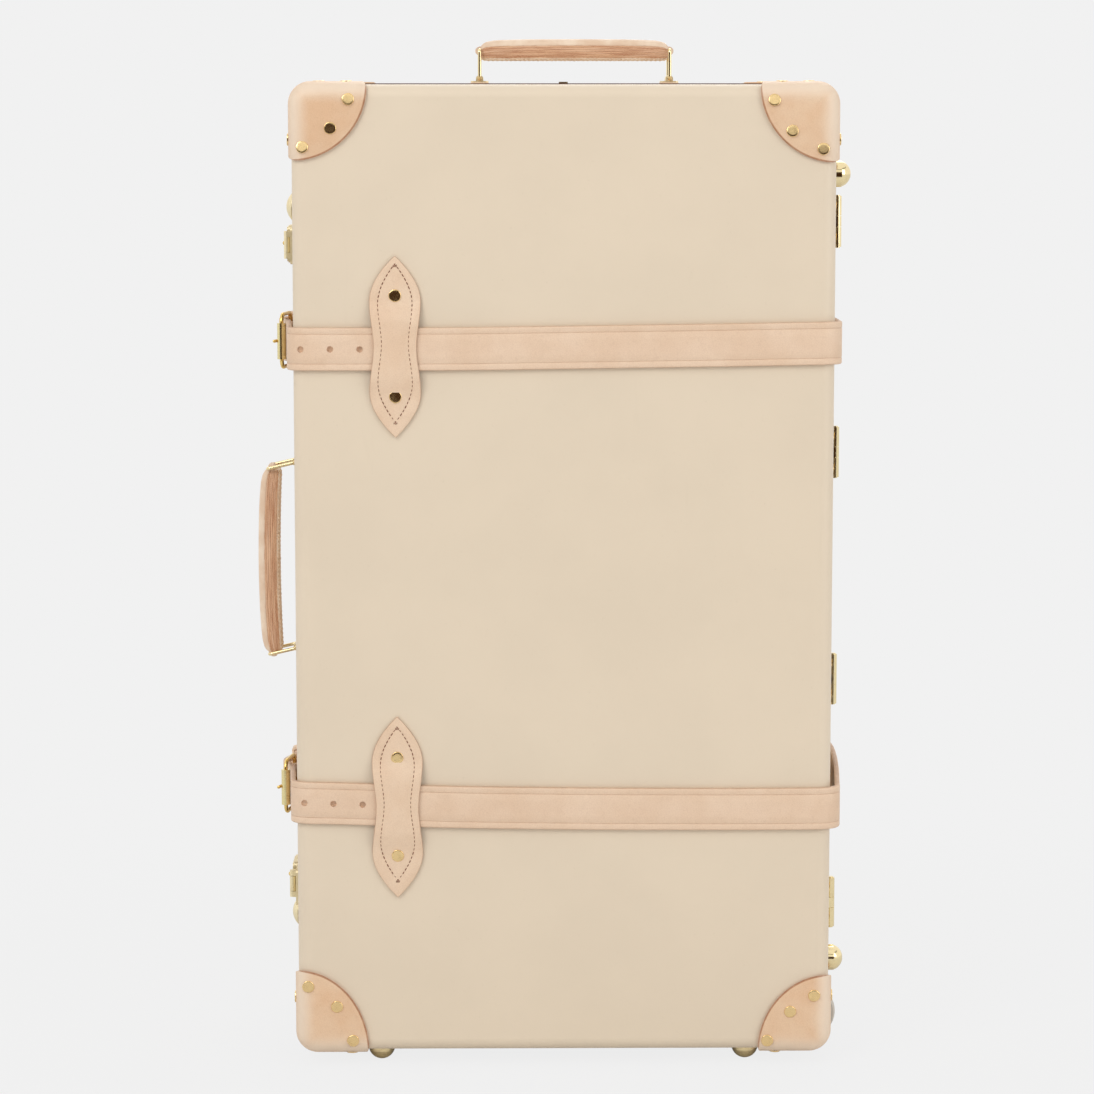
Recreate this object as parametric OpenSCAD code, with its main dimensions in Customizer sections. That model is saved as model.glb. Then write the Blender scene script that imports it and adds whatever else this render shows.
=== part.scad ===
// Strapped travelling case of vulcanised fibreboard, standing on its short end.
// +X is the hinge side, -Y the lid, +Z up. The origin is on the floor under the
// middle of the whole, side handle included. All sizes are millimetres.

/* [Case] */
// Width of the case across its front, over the fibreboard
case_w = 421; // [400:1:460]
// Height of the case from its bottom to its top, over the fibreboard
case_h = 762; // [740:1:820]
// Depth of the lid, from its face to the seam
lid_depth = 60; // [56:1:70]
// Depth of the base, from the seam to its back
base_depth = 180; // [175:1:220]
// Thickness of the fibreboard
shell_t = 2.6; // [2:0.1:3.2]
// Radius of the four corners seen from the front
corner_r = 15; // [14:0.5:18]
// Radius of the edge between a face and the sides
edge_r = 10; // [8:0.5:12]
// Gap left between the rims of the closed lid and base
seam_gap = 0.4; // [0.3:0.1:0.8]

/* [Rim and lining] */
// Width of the ash frame of the base, from the fibreboard inwards
frame_w = 11; // [10:0.5:13]
// Depth of both ash frames, from the seam
frame_d = 10; // [8:0.5:10]
// Height of the base frame's lip inside the lid
lip_h = 9; // [5:0.5:10]
// Thickness of the lip
lip_t = 4; // [3:0.5:5]
// Clearance between the lip and the lid's frame
lip_gap = 0.6; // [0.5:0.1:1]
// Thickness of the lining boards
lining_t = 1.2; // [1:0.1:2]
// Width of the dark binding on each rim
binding_w = 7; // [5:0.5:9]
// Thickness of the binding
binding_t = 0.8; // [0.6:0.1:0.9]
// Gap between a skin and the face it lies on
skin_gap = 0.1; // [0.1:0.05:0.2]
// Gap between two pieces that fit loosely
fit_gap = 0.3; // [0.2:0.05:0.4]

/* [Leather corners] */
// Thickness of the corner leather
leather_t = 2.4; // [2:0.1:3]
// Radius of a leather corner on the front face
patch_r = 59.5; // [56:0.5:64]
// Depth of a leather corner round the sides
flap_depth = 47; // [44:0.5:48]
// Distance of the face rivets from the case's corner
corner_rivet_r = 48; // [46:0.5:50]
// Head diameter of the corner rivets
rivet_d = 9.6; // [8:0.1:10]
// Height of a rivet head
rivet_h = 1; // [0.8:0.1:1.3]

/* [Straps] */
// Distance of each strap's middle from the top or the bottom of the case
strap_end = 201.5; // [195:0.5:212]
// Width of a strap
strap_w = 38; // [36:0.5:38.5]
// Thickness of the strap leather
strap_t = 4; // [3.5:0.1:4.2]
// Diameter of the punched holes
hole_d = 5.5; // [4.5:0.1:6]
// Distance between the punched holes
hole_pitch = 22.9; // [22:0.1:24]
// Distance of the innermost hole from the lock side
hole_in = 52.1; // [51:0.1:53]
// Distance of the keeper patches from the lock side
keeper_in = 79.5; // [78:0.5:90]
// Length of a keeper patch, point to point
keeper_len = 142; // [138:1:150]
// Greatest width of a keeper patch
keeper_w = 40; // [38:0.5:44]
// Width of its waist, over the strap
keeper_waist = 33.5; // [30:0.5:36]
// Thickness of the keeper leather
keeper_t = 2.4; // [2:0.1:3]
// Distance of the keeper rivets from the middle of the strap
keeper_rivet_at = 39.2; // [38.5:0.1:42]
// Head diameter of the keeper rivets
keeper_rivet_d = 9; // [7:0.1:9.5]
// Distance from the heel bar to the point of the strap's free end
tip_len = 74; // [72:1:84]

/* [Buckles] */
// Outside width of the buckle frame
frame_outer_w = 45; // [45:0.1:46]
// Diameter of the frame's wire
buckle_wire_d = 3.2; // [3:0.1:3.2]
// Radius of the frame's corners, on the middle of the wire
buckle_corner_r = 6.5; // [6:0.5:8]
// Distance from the roller bar to the heel bar
buckle_len = 33.8; // [32:0.2:36]
// Distance of the roller bar behind the seam
roller_behind = 3.5; // [3:0.1:4]
// Height of the roller bar off the wall
roller_off = 12.4; // [12.2:0.1:14]
// Height of the heel bar off the wall
heel_off = 7.2; // [7.1:0.1:7.8]
// Diameter of the roller
roller_d = 7; // [6.5:0.1:7.4]
// Thickness of the prong
prong_d = 2.6; // [2.2:0.1:3]
// Clearance of a part that turns on its bar
turn_gap = 0.05; // [0.03:0.01:0.08]

/* [Handles] */
// Distance between the two brackets of a handle
handle_span = 151; // [145:1:160]
// Shift of the top handle from the middle towards the hinge side
top_shift = 9.5; // [0:0.5:12]
// Shift of the side handle from the middle upwards
side_shift = 4; // [0:0.5:10]
// Distance of the handles behind the seam
handle_behind = 50; // [46:1:60]
// Outside width of a wire loop
loop_w = 32; // [30:0.5:36]
// Diameter of the loop wire
loop_wire_d = 2.8; // [2.6:0.1:3.2]
// Radius of the loop's corners, on the middle of the wire
loop_corner_r = 2; // [1.8:0.1:2.2]
// Distance between the two bars of a loop
loop_arm = 22.6; // [22.2:0.1:26]
// Height of the loop's pivot off the wall
pivot_h = 4.6; // [4.5:0.1:5]
// Thickness of the leather pad under a bracket
pad_t = 1.6; // [1.4:0.1:1.7]
// Distance that a grip reaches past its bars
grip_over = 3.5; // [3.2:0.1:4.5]
// Thickness of a grip
grip_t = 17.6; // [16:0.1:18]
// Width of a grip
grip_w = 24.4; // [22:0.1:24.4]
// Sag of the side handle, in degrees below square to the wall
side_sag = 13; // [0:1:20]

/* [Latches] */
// Distance of each latch from the top or the bottom of the case
latch_end = 125; // [121:1:140]
// Length of a lock case behind the seam
lock_len = 34; // [34:0.5:36]
// Height of a lock case along the seam
lock_w = 29; // [26:0.5:32]
// Thickness of a lock case
lock_t = 6.5; // [6.2:0.1:7]
// Width of the hasp
hasp_w = 12; // [11:0.5:14]
// Thickness of the hasp plate
hasp_t = 1.6; // [1.4:0.1:2]
// Travel of the thumb slide
slide_travel = 4.5; // [4:0.1:4.8]
// Distance of a key boss from its latch
boss_at = 29; // [27:0.5:30]
// Diameter of a key boss
boss_d = 21; // [19:0.5:22]
// Height of a key boss
boss_h = 8.5; // [7:0.5:10]

/* [Hinges] */
// Distance of the outer hinges from the top and the bottom of the case
hinge_end = 107; // [105:1:119]
// Height of a hinge
hinge_w = 40; // [36:1:42]
// Reach of a leaf from the seam
leaf_len = 17; // [15:0.5:20]
// Thickness of a leaf
leaf_t = 1.6; // [1.2:0.1:1.8]
// Distance of the hinge axis off the wall
hinge_off = 5.5; // [5.4:0.1:6]
// Radius of the hinge barrel
barrel_r = 3.5; // [3.2:0.1:3.6]
// Height of the middle knuckle
knuckle_w = 8.4; // [7:0.1:12]
// Diameter of the hinge pin
hinge_pin_d = 3.4; // [3:0.1:3.6]

/* [Feet] */
// Height of a dome foot
foot_h = 12.5; // [12:0.1:15]
// Diameter of a dome foot
foot_d = 20.5; // [18:0.5:24]
// Distance of the bottom feet from the sides of the case
foot_side = 65; // [60:0.5:80]
// Distance of the side feet from the top and the bottom of the case
foot_end = 69; // [67:0.5:80]
// Distance of all feet from the lid's face or the back
foot_in = 28; // [24:0.5:30]

/* [Wheels] */
// Radius of a wheel
wheel_r = 22; // [20:0.5:23]
// Width of a wheel
wheel_w = 14; // [12:0.5:15]
// Distance that a wheel stands out of the bottom
wheel_out = 11; // [9:0.5:11]
// Distance that a wheel stands out of the side
wheel_side = 12.3; // [10:0.1:12.3]
// Distance of the front wheel behind the seam
wheel_front_behind = 22; // [22:0.5:24]
// Distance between the two wheels
wheel_pitch = 86; // [70:1:90]
// Thickness of the wheel housings
housing_t = 2; // [1.6:0.1:2.5]
// Gap between a wheel and its housing
wheel_gap = 2; // [1.5:0.1:2.5]
// Diameter of a wheel axle
axle_d = 6; // [5:0.5:8]

/* [Hidden] */
$fn = 64;
brass = [0.80, 0.70, 0.42];
cream = [0.88, 0.82, 0.73];
tan = [0.90, 0.79, 0.69];
dark = [0.42, 0.34, 0.30];
wall_x = case_w / 2;
z_mid = foot_h + case_h / 2;
z_top = foot_h + case_h;
y_front = -(lid_depth + base_depth) / 2;
y_seam = y_front + lid_depth;
y_back = y_seam + base_depth;
strap_at = case_h / 2 - strap_end;
latch_at = case_h / 2 - latch_end;
keeper_at = wall_x - keeper_in;
skin_t = skin_gap + leather_t;
bound_off = skin_gap + binding_t;
side_reach = pivot_h + loop_arm * cos(side_sag) + grip_t / 2;
case_x = even((side_reach - foot_h) / 2);

// Turn that takes +Z to a wall's outward direction and +Y upwards
function wall_turn(side) =
  side == "front" ? [90, 0, 0] :
  side == "back" ? [90, 0, 180] :
  side == "hinge" ? [90, 0, 90] :
  side == "lock" ? [90, 0, -90] :
  side == "bottom" ? [180, 0, 0] : [0, 0, 0];

// Smooth rise from 0 to 1 while t runs from 0 to 1
function ease(t) = let (u = max(0, min(1, t))) u * u * (3 - 2 * u);

// Outline of a band of thickness t whose middle follows the height function f
function band(f, from, to, n, t) = concat(
  [for (i = [0:n]) let (s = from + (to - from) * i / n) [s, f(s) + t / 2]],
  [for (i = [n:-1:0]) let (s = from + (to - from) * i / n) [s, f(s) - t / 2]]
);

// A length to the nearest hundredth, so that pieces set end to end meet exactly
function even(len) = round(len * 100) / 100;

// Carries a section round a rounded rectangle; its x is measured from the corner axis
module around(w, h, r) {
  half_w = even(w / 2 - r);
  half_h = even(h / 2 - r);
  for (k = [0:3]) {
    upright = k % 2 == 0;
    across = k == 0 || k == 3 ? 1 : -1;
    along = k < 2 ? 1 : -1;
    translate([across * half_w, along * half_h, 0])
      rotate([0, 0, 90 * k])
        rotate_extrude(angle = 90) children();
    rotate([0, 0, 90 * k])
      translate([upright ? half_w : half_h, 0, 0])
        rotate([90, 0, 0])
          linear_extrude(2 * (upright ? half_h : half_w), center = true) children();
  }
}

// Section of a side wall, its rounded edge and the margin of the face
module edge_section(d, t, r, e) {
  translate([r - t, 0]) square([t, d - e]);
  translate([r - e, d - e]) intersection() {
    difference() {
      circle(e);
      circle(e - t);
    }
    square(e);
  }
  translate([0, d - t]) square([r - e, t]);
}

// Five-sided tray with its open rim at z = 0 and its face at z = d
module tray(w, h, d, t, r, e) {
  half_w = even(w / 2 - r);
  half_h = even(h / 2 - r);
  around(w, h, r) edge_section(d, t, r, e);
  translate([-half_w, -half_h, d - t]) cube([2 * half_w, 2 * half_h, t]);
}

// Upright ring of thickness t and height d with rounded corners
module ring(w, h, d, t, r) {
  around(w, h, r) translate([r - t, 0]) square([t, d]);
}

// Flat plate centred on the origin with rounded corners
module plate(w, h, t, r) {
  linear_extrude(t) {
    square([w - 2 * r, h], center = true);
    square([w, h - 2 * r], center = true);
    for (x = [-1, 1], y = [-1, 1]) translate([x * (w / 2 - r), y * (h / 2 - r)]) circle(r);
  }
}

// Wire bent into a rounded rectangle that starts on the Y axis and runs along +X
module wire_loop(len, w, wire_d, r) {
  translate([len / 2, 0, 0]) around(len, w, r) translate([r, 0]) circle(d = wire_d);
}

// Flat rivet head with a rounded edge, standing on z = 0
module rivet_head(d, h = rivet_h) rotate_extrude() {
  square([d / 2 - h, h]);
  translate([d / 2 - h, 0]) intersection() {
    circle(h);
    square(h);
  }
}

// Cylinder along the Y axis, centred on the origin
module bar(d, len) rotate([90, 0, 0]) cylinder(d = d, h = len, center = true);

module on_wall(side, at) translate(at) rotate(wall_turn(side)) children();

module on_lid() translate([0, y_seam - seam_gap / 2, z_mid]) rotate([90, 0, 0]) children();

module on_base() translate([0, y_seam + seam_gap / 2, z_mid]) rotate([-90, 0, 0]) children();

// Puts what is drawn round the middle of the case into the frame of the whole
module framed() translate([case_x, 0, 0]) children();

// Both heights of what comes in an upper and a lower copy
module at_both(h) for (s = [-1, 1]) translate([0, 0, s * h]) children();

/* Wheels: one axle line along Y, set into the bottom edge on the hinge side */
wheel_x = wall_x + wheel_side - wheel_r;
wheel_z = foot_h - wheel_out + wheel_r;
wheel_y = [for (k = [0:1]) y_seam + wheel_front_behind + k * wheel_pitch];
housing_in = wheel_r + wheel_gap;
housing_w = wheel_w + 2 * (wheel_gap + housing_t);

module wheel_place(k) translate([wheel_x, wheel_y[k], wheel_z]) children();

// Square block that a housing fills, grown on every inner side by extra
module housing_block(extra) {
  in = housing_in + housing_t + extra;
  for (k = [0:1])
    wheel_place(k)
      translate([-in, -housing_w / 2 - extra, -in])
        cube([2 * in, housing_w + 2 * extra, 2 * in]);
}

module wheel_housings() color(dark) difference() {
  intersection() {
    housing_block(0);
    translate([0, y_seam, z_mid]) rotate([-90, 0, 0]) plate(case_w, case_h, base_depth, corner_r);
  }
  for (k = [0:1]) wheel_place(k) {
    in = housing_in;
    translate([-in, -wheel_w / 2 - wheel_gap, -2 * in])
      cube([3 * in, wheel_w + 2 * wheel_gap, 3 * in]);
    bar(axle_d, housing_w + 2);
  }
}

module wheel_axles() color("silver") for (k = [0:1]) wheel_place(k) bar(axle_d, housing_w);

tyre_in = 0.66 * wheel_r;
rim_t = 2;
rim_inset = 1;

module wheel_tyre(k) color([0.84, 0.80, 0.75]) wheel_place(k) rotate([90, 0, 0])
  rotate_extrude() intersection() {
    translate([tyre_in, -wheel_w / 2]) square([wheel_r - tyre_in, wheel_w]);
    translate([wheel_r - wheel_w, 0]) circle(wheel_w);
  }

module wheel_hub(k) color([0.45, 0.42, 0.40]) wheel_place(k) rotate([90, 0, 0])
  rotate_extrude() {
    bore = axle_d / 2 + turn_gap;
    translate([bore, -wheel_w / 2]) square([axle_d / 2, wheel_w]);
    translate([bore, -wheel_w / 6]) square([tyre_in - bore, wheel_w / 3]);
    translate([tyre_in - rim_t, rim_inset - wheel_w / 2]) square([rim_t, wheel_w - 2 * rim_inset]);
  }

/* Shells, frames and linings */
module base_shell() color(cream) difference() {
  on_base() tray(case_w, case_h, base_depth - seam_gap / 2, shell_t, corner_r, edge_r);
  housing_block(0);
}

module lid_shell() color(cream)
  on_lid() tray(case_w, case_h, lid_depth - seam_gap / 2, shell_t, corner_r, edge_r);

frame_off = shell_t + skin_gap;
frame_r = corner_r - frame_off;
lid_frame_w = frame_w - lip_t - lip_gap;

module base_frame() color([0.80, 0.66, 0.46]) on_base()
  around(case_w - 2 * frame_off, case_h - 2 * frame_off, frame_r) {
    translate([frame_r - frame_w, 0]) square([frame_w, frame_d]);
    translate([frame_r - frame_w, -lip_h]) square([lip_t, lip_h]);
  }

module lid_frame() color([0.80, 0.66, 0.46]) on_lid()
  ring(case_w - 2 * frame_off, case_h - 2 * frame_off, frame_d, lid_frame_w, frame_r);

lining_off = shell_t + fit_gap;

module lining(depth)
  translate([0, 0, frame_d + fit_gap])
    tray(case_w - 2 * lining_off, case_h - 2 * lining_off,
      depth - seam_gap / 2 - lining_off - frame_d - fit_gap,
      lining_t, corner_r - lining_off, edge_r - lining_off);

module base_lining() color("beige") difference() {
  on_base() lining(base_depth);
  housing_block(fit_gap);
}

module lid_lining() color("beige") on_lid() lining(lid_depth);

module binding()
  ring(case_w + 2 * bound_off, case_h + 2 * bound_off, binding_w, binding_t, corner_r + bound_off);

module base_binding() color(dark) on_base() binding();

module lid_binding() color(dark) on_lid() binding();

joiner_w = 7;
joiner_t = 1.2;

// Brass clip over the joint of the binding, at the middle of the top
module trim_joiner() color(brass)
  translate([0, y_seam + seam_gap / 2 + fit_gap, z_top + bound_off])
    translate([-joiner_w / 2, 0, 0]) cube([joiner_w, binding_w, joiner_t]);

/* Leather corners: a skin over the case, cut to a ball round each corner */
ball_r = (patch_r * patch_r + flap_depth * flap_depth) / (2 * flap_depth);
ball_out = ball_r - flap_depth;

module leather_corners(depth) intersection() {
  tray(case_w + 2 * skin_t, case_h + 2 * skin_t, depth - seam_gap / 2 + skin_t,
    leather_t, corner_r + skin_t, edge_r + skin_t);
  for (x = [-1, 1], y = [-1, 1])
    translate([x * case_w / 2, y * case_h / 2, depth + ball_out]) sphere(ball_r);
}

face_rivet_angles = [13, 47, 78];
// Hand-set difference of the face rivets' distance at each corner
rivet_drift = [[2.3, -0.8], [-1.5, 0.9]];
flap_rivet_angles = [32, 66];
flap_rivet_r = ball_r - (patch_r - corner_rivet_r);

// Rivets of the four corners of a tray of the given depth
module corner_rivets(depth)
  for (x = [0, 1], y = [0, 1]) mirror([x, 0, 0]) mirror([0, y, 0]) {
    face_r = corner_rivet_r + rivet_drift[x][y];
    for (a = face_rivet_angles)
      translate([case_w / 2 - face_r * cos(a), case_h / 2 - face_r * sin(a),
        depth - seam_gap / 2 + skin_t]) rivet_head(rivet_d);
    for (a = flap_rivet_angles) {
      along = flap_rivet_r * cos(a);
      deep = depth - seam_gap / 2 + ball_out - flap_rivet_r * sin(a);
      translate([case_w / 2 + skin_t, case_h / 2 - along, deep])
        rotate([0, 90, 0]) rivet_head(rivet_d);
      translate([case_w / 2 - along, case_h / 2 + skin_t, deep])
        rotate([-90, 0, 0]) rivet_head(rivet_d);
    }
  }

module base_leather_corners() color(tan) on_base() leather_corners(base_depth);

module lid_leather_corners() color(tan) on_lid() leather_corners(lid_depth);

module base_corner_rivets() color(brass) on_base() corner_rivets(base_depth);

module lid_corner_rivets() color(brass) on_lid() corner_rivets(lid_depth);

/* Straps: plan sections in XY, raised over the strap's width */
roller_gap = 0.4;
strap_off = bound_off + 2 * skin_gap;
bend_r = edge_r + 5 * skin_gap;
bend_x = wall_x + strap_off - bend_r;
bend_front_y = y_front - fit_gap + bend_r;
bend_back_y = y_back + fit_gap - bend_r;
split_y = y_seam + roller_behind;
split_in = roller_off - roller_d / 2 - roller_gap - strap_t;

module strap_raise() translate([0, 0, z_mid]) at_both(strap_at)
  linear_extrude(strap_w, center = true) children();

// Quarter or part turn of the strap about a bend, from angle a over sweep
module strap_bend(at, a, sweep) translate([0, 0, z_mid]) at_both(strap_at)
  translate([at.x, at.y, 0]) rotate([0, 0, a]) rotate_extrude(angle = sweep)
    translate([bend_r, -strap_w / 2]) square([strap_t, strap_w]);

module lid_straps() color(tan) difference() {
  union() {
    strap_raise() translate([-bend_x, y_front - fit_gap - strap_t])
      square([2 * bend_x, strap_t]);
    strap_bend([bend_x, bend_front_y], -90, 90);
    strap_raise() translate([bend_x + bend_r, bend_front_y])
      square([strap_t, y_seam - fit_gap - bend_front_y]);
    strap_bend([-bend_x, bend_front_y], 180, 90);
    strap_raise() polygon([
      [-bend_x - bend_r, bend_front_y], [-wall_x - split_in, split_y],
      [-wall_x - split_in - strap_t, split_y], [-bend_x - bend_r - strap_t, bend_front_y]
    ]);
  }
  for (k = [0:2], s = [-1, 1])
    translate([hole_in - k * hole_pitch - wall_x, y_front, z_mid + s * strap_at])
      bar(hole_d, 8 * strap_t);
}

buckle_reach = sqrt(pow(buckle_len, 2) - pow(roller_off - heel_off, 2));
heel_y = split_y + buckle_reach;
chape_t = 3;
chape_r = buckle_wire_d / 2 + skin_gap + chape_t;
bar_straight = frame_outer_w - buckle_wire_d - 2 * buckle_corner_r;
chape_w = bar_straight - 4 * fit_gap;
prong_slot = 5;

module base_straps() color(tan) difference() {
  union() {
    strap_raise() translate([bend_x + bend_r, y_seam + fit_gap])
      square([strap_t, bend_back_y - y_seam - fit_gap]);
    strap_bend([bend_x, bend_back_y], 0, 90);
    strap_raise() translate([-bend_x, y_back + fit_gap]) square([2 * bend_x, strap_t]);
    strap_bend([-bend_x, bend_back_y], 90, 90);
    strap_raise() translate([-bend_x - bend_r - strap_t, heel_y - chape_r])
      square([strap_t, bend_back_y - heel_y + chape_r]);
    translate([-wall_x - heel_off, heel_y, z_mid]) at_both(strap_at)
      cylinder(r = chape_r, h = chape_w, center = true);
  }
  translate([-wall_x - heel_off, heel_y, z_mid]) at_both(strap_at) {
    cylinder(d = buckle_wire_d + 2 * skin_gap, h = chape_w + 2, center = true);
    cylinder(r = chape_r - fit_gap, h = prong_slot, center = true);
    translate([-chape_r, 0, 0]) cube([2 * chape_r, 4 * chape_r, prong_slot], center = true);
  }
}

back_rivet_x = wall_x - 60;

module strap_rivets() color(brass)
  for (x = [-1, 1], z = [-1, 1])
    on_wall("back", [x * back_rivet_x, y_back + fit_gap + strap_t, z_mid + z * strap_at])
      rivet_head(keeper_rivet_d);

/* Keeper patches: a leaf outline cut from a band that humps over the strap */
keeper_swell = keeper_len / 4;
hump_flat = strap_w / 2 + 4 * fit_gap;
hump_fall = 12;
keeper_low = skin_gap + keeper_t / 2;
keeper_high = fit_gap + strap_t + fit_gap + keeper_t / 2;

function keeper_half(s) = s < keeper_swell
  ? keeper_waist / 2 + (keeper_w - keeper_waist) / 2 * ease(s / keeper_swell)
  : keeper_w / 2 * pow(cos(90 * (s - keeper_swell) / (keeper_len / 2 - keeper_swell)), 0.9);

module keeper_outline() {
  n = 44;
  side = [for (i = [0:n]) let (s = -keeper_len / 2 + keeper_len * i / n)
    [keeper_half(min(abs(s), keeper_len / 2 - 0.01)), s]];
  polygon(concat(side, [for (i = [n:-1:0]) [-side[i].x, side[i].y]]));
}

module keeper_patch() {
  rise = function (s) keeper_low
    + (keeper_high - keeper_low) * (1 - ease((abs(s) - hump_flat) / hump_fall));
  intersection() {
    linear_extrude(2 * (keeper_high + keeper_t)) keeper_outline();
    rotate([90, 0, 90]) linear_extrude(keeper_w + 2, center = true)
      polygon(band(rise, -keeper_len / 2 - 1, keeper_len / 2 + 1, 72, keeper_t));
  }
}

module at_keepers() for (s = [-1, 1])
  on_wall("front", [-keeper_at, y_front, z_mid + s * strap_at]) children();

module keeper_patches() color(tan) at_keepers() keeper_patch();

module keeper_rivets() color(brass) at_keepers()
  for (s = [-1, 1]) translate([0, s * keeper_rivet_at, skin_gap + keeper_t])
    rivet_head(keeper_rivet_d);

/* Buckles, in a frame where x runs forward from the seam, y up and z off the wall */
heel_x = -roller_behind - buckle_reach;
buckle_tilt = asin((roller_off - heel_off) / buckle_len);
roller_w = bar_straight - fit_gap;

module buckle_place(s) on_wall("lock", [-wall_x, y_seam, z_mid + s * strap_at]) children();

module buckle_frames() color(brass) for (s = [-1, 1]) buckle_place(s)
  translate([heel_x, 0, heel_off]) rotate([0, -buckle_tilt, 0])
    wire_loop(buckle_len, frame_outer_w - buckle_wire_d, buckle_wire_d, buckle_corner_r);

module buckle_roller(s) color([0.86, 0.82, 0.70]) buckle_place(s)
  translate([-roller_behind, 0, roller_off]) difference() {
    bar(roller_d, roller_w);
    bar(buckle_wire_d + 2 * turn_gap, roller_w + 2);
  }

prong_ring_d = 2 * buckle_wire_d;
prong_w = 4.2;
prong_clear = (roller_d + prong_d) / 2 + fit_gap;
prong_rise = asin(prong_clear / buckle_len) + buckle_tilt;
prong_len = buckle_len + prong_d;

module buckle_prong(s) color(brass) buckle_place(s)
  translate([heel_x, 0, heel_off]) difference() {
    union() {
      bar(prong_ring_d, prong_w);
      rotate([0, 90 - prong_rise, 0]) cylinder(d = prong_d, h = prong_len);
      rotate([0, 90 - prong_rise, 0]) translate([0, 0, prong_len]) sphere(d = prong_d);
    }
    bar(buckle_wire_d + 2 * turn_gap, prong_w + 2);
  }

/* Free end of each strap: under the roller, over the heel bar, through its loop */
tip_under = split_in + strap_t / 2;
tip_over = heel_off + chape_r + fit_gap + strap_t / 2;
tip_flat = strap_off + strap_t + fit_gap + strap_t / 2;
tip_fall = 32;
tip_point = 28;
slot_w = prong_d + 1;
loop_at = tip_fall + 6;
slot_start = 6;
slot_short = 8;
strap_loop_w = 12;
strap_loop_t = 2;

module strap_tip() {
  height = function (x) x > heel_x
    ? tip_under + (tip_over - tip_under) * ease((-roller_behind - x) / buckle_reach)
    : tip_over + (tip_flat - tip_over) * ease((heel_x - x) / tip_fall);
  reach = tip_len - tip_point;
  arc_r = (tip_point * tip_point + strap_w * strap_w / 4) / strap_w;
  difference() {
    intersection() {
      rotate([90, 0, 0]) linear_extrude(strap_w, center = true)
        polygon(band(height, heel_x - tip_len, -roller_behind - skin_gap, 56, strap_t));
      linear_extrude(2 * tip_over) {
        translate([heel_x - reach, -strap_w / 2]) square([reach + buckle_reach + 2, strap_w]);
        translate([heel_x - reach, 0]) intersection() {
          translate([0, arc_r - strap_w / 2]) circle(arc_r);
          translate([0, strap_w / 2 - arc_r]) circle(arc_r);
        }
      }
    }
    translate([heel_x - slot_start, -slot_w / 2, 0])
      cube([buckle_reach + slot_start - slot_short, slot_w, 2 * tip_over]);
  }
}

module strap_tips() color(tan) for (s = [-1, 1]) buckle_place(s) strap_tip();

module strap_loops() color(tan) for (s = [-1, 1]) buckle_place(s)
  translate([heel_x - loop_at - strap_loop_w / 2, 0, skin_gap]) {
    inner_w = strap_w + 2 * fit_gap;
    inner_h = tip_flat + strap_t / 2 + fit_gap - skin_gap;
    rotate([90, 0, 90]) linear_extrude(strap_loop_w, center = true) difference() {
      translate([-inner_w / 2 - strap_loop_t, 0])
        square([inner_w + 2 * strap_loop_t, inner_h + strap_loop_t]);
      translate([-inner_w / 2, -1]) square([inner_w, inner_h + 1]);
    }
  }

/* Hinges, in a frame where x runs back from the seam, y up and z off the wall */
hinge_far = case_h / 2 - hinge_end;
hinge_heights = [for (k = [-3:2:3]) k / 3 * hinge_far];
leaf_low = bound_off;
leaf_corner_r = 1.5;
knuckle_gap = 0.3;
notch = barrel_r + 0.4;
pin_head_t = 0.8;
pin_head_d = hinge_pin_d + 1.4;

module at_hinges() for (h = hinge_heights)
  on_wall("hinge", [wall_x, y_seam, z_mid + h]) children();

// Leaf on the side of the seam given by dir, with knuckles from low to high
module hinge_leaf(dir, knuckles, cuts) difference() {
  union() {
    translate([dir * (leaf_len + fit_gap) / 2, 0, leaf_low])
      plate(leaf_len - fit_gap, hinge_w, leaf_t, leaf_corner_r);
    for (k = knuckles) {
      translate([dir > 0 ? fit_gap : -notch, k[0], leaf_low])
        cube([notch - fit_gap, k[1] - k[0], hinge_off - leaf_low]);
      translate([0, k[0], hinge_off]) rotate([-90, 0, 0]) cylinder(r = barrel_r, h = k[1] - k[0]);
    }
  }
  for (k = cuts)
    translate([dir > 0 ? -1 : -notch, k[0], 0]) cube([notch + 1, k[1] - k[0], hinge_off + barrel_r + 1]);
  translate([0, 0, hinge_off]) bar(hinge_pin_d + 2 * turn_gap, hinge_w + 2);
}

middle = [-knuckle_w / 2, knuckle_w / 2];
outer_low = [-hinge_w / 2, -knuckle_w / 2 - knuckle_gap];
outer_high = [knuckle_w / 2 + knuckle_gap, hinge_w / 2];

module base_hinge_leaves() color(brass) at_hinges()
  hinge_leaf(1, [outer_low, outer_high], [[outer_low[1], outer_high[0]]]);

module lid_hinge_leaves() color(brass) at_hinges()
  hinge_leaf(-1, [middle],
    [[-hinge_w / 2 - 1, middle[0]], [middle[1], hinge_w / 2 + 1]]);

module hinge_pins() color(brass) at_hinges() translate([0, 0, hinge_off]) {
  bar(hinge_pin_d, hinge_w);
  for (s = [-1, 1]) translate([0, s * (hinge_w + pin_head_t) / 2, 0]) bar(pin_head_d, pin_head_t);
}

hinge_rivet_d = 5;
hinge_rivet_in = 5;

module hinge_rivets(dir) at_hinges() for (y = [-1, 1])
  translate([dir * (leaf_len - hinge_rivet_in), y * hinge_w * 0.31, leaf_low + leaf_t])
    rivet_head(hinge_rivet_d);

module base_hinge_rivets() color(brass) hinge_rivets(1);

module lid_hinge_rivets() color(brass) hinge_rivets(-1);

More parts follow.
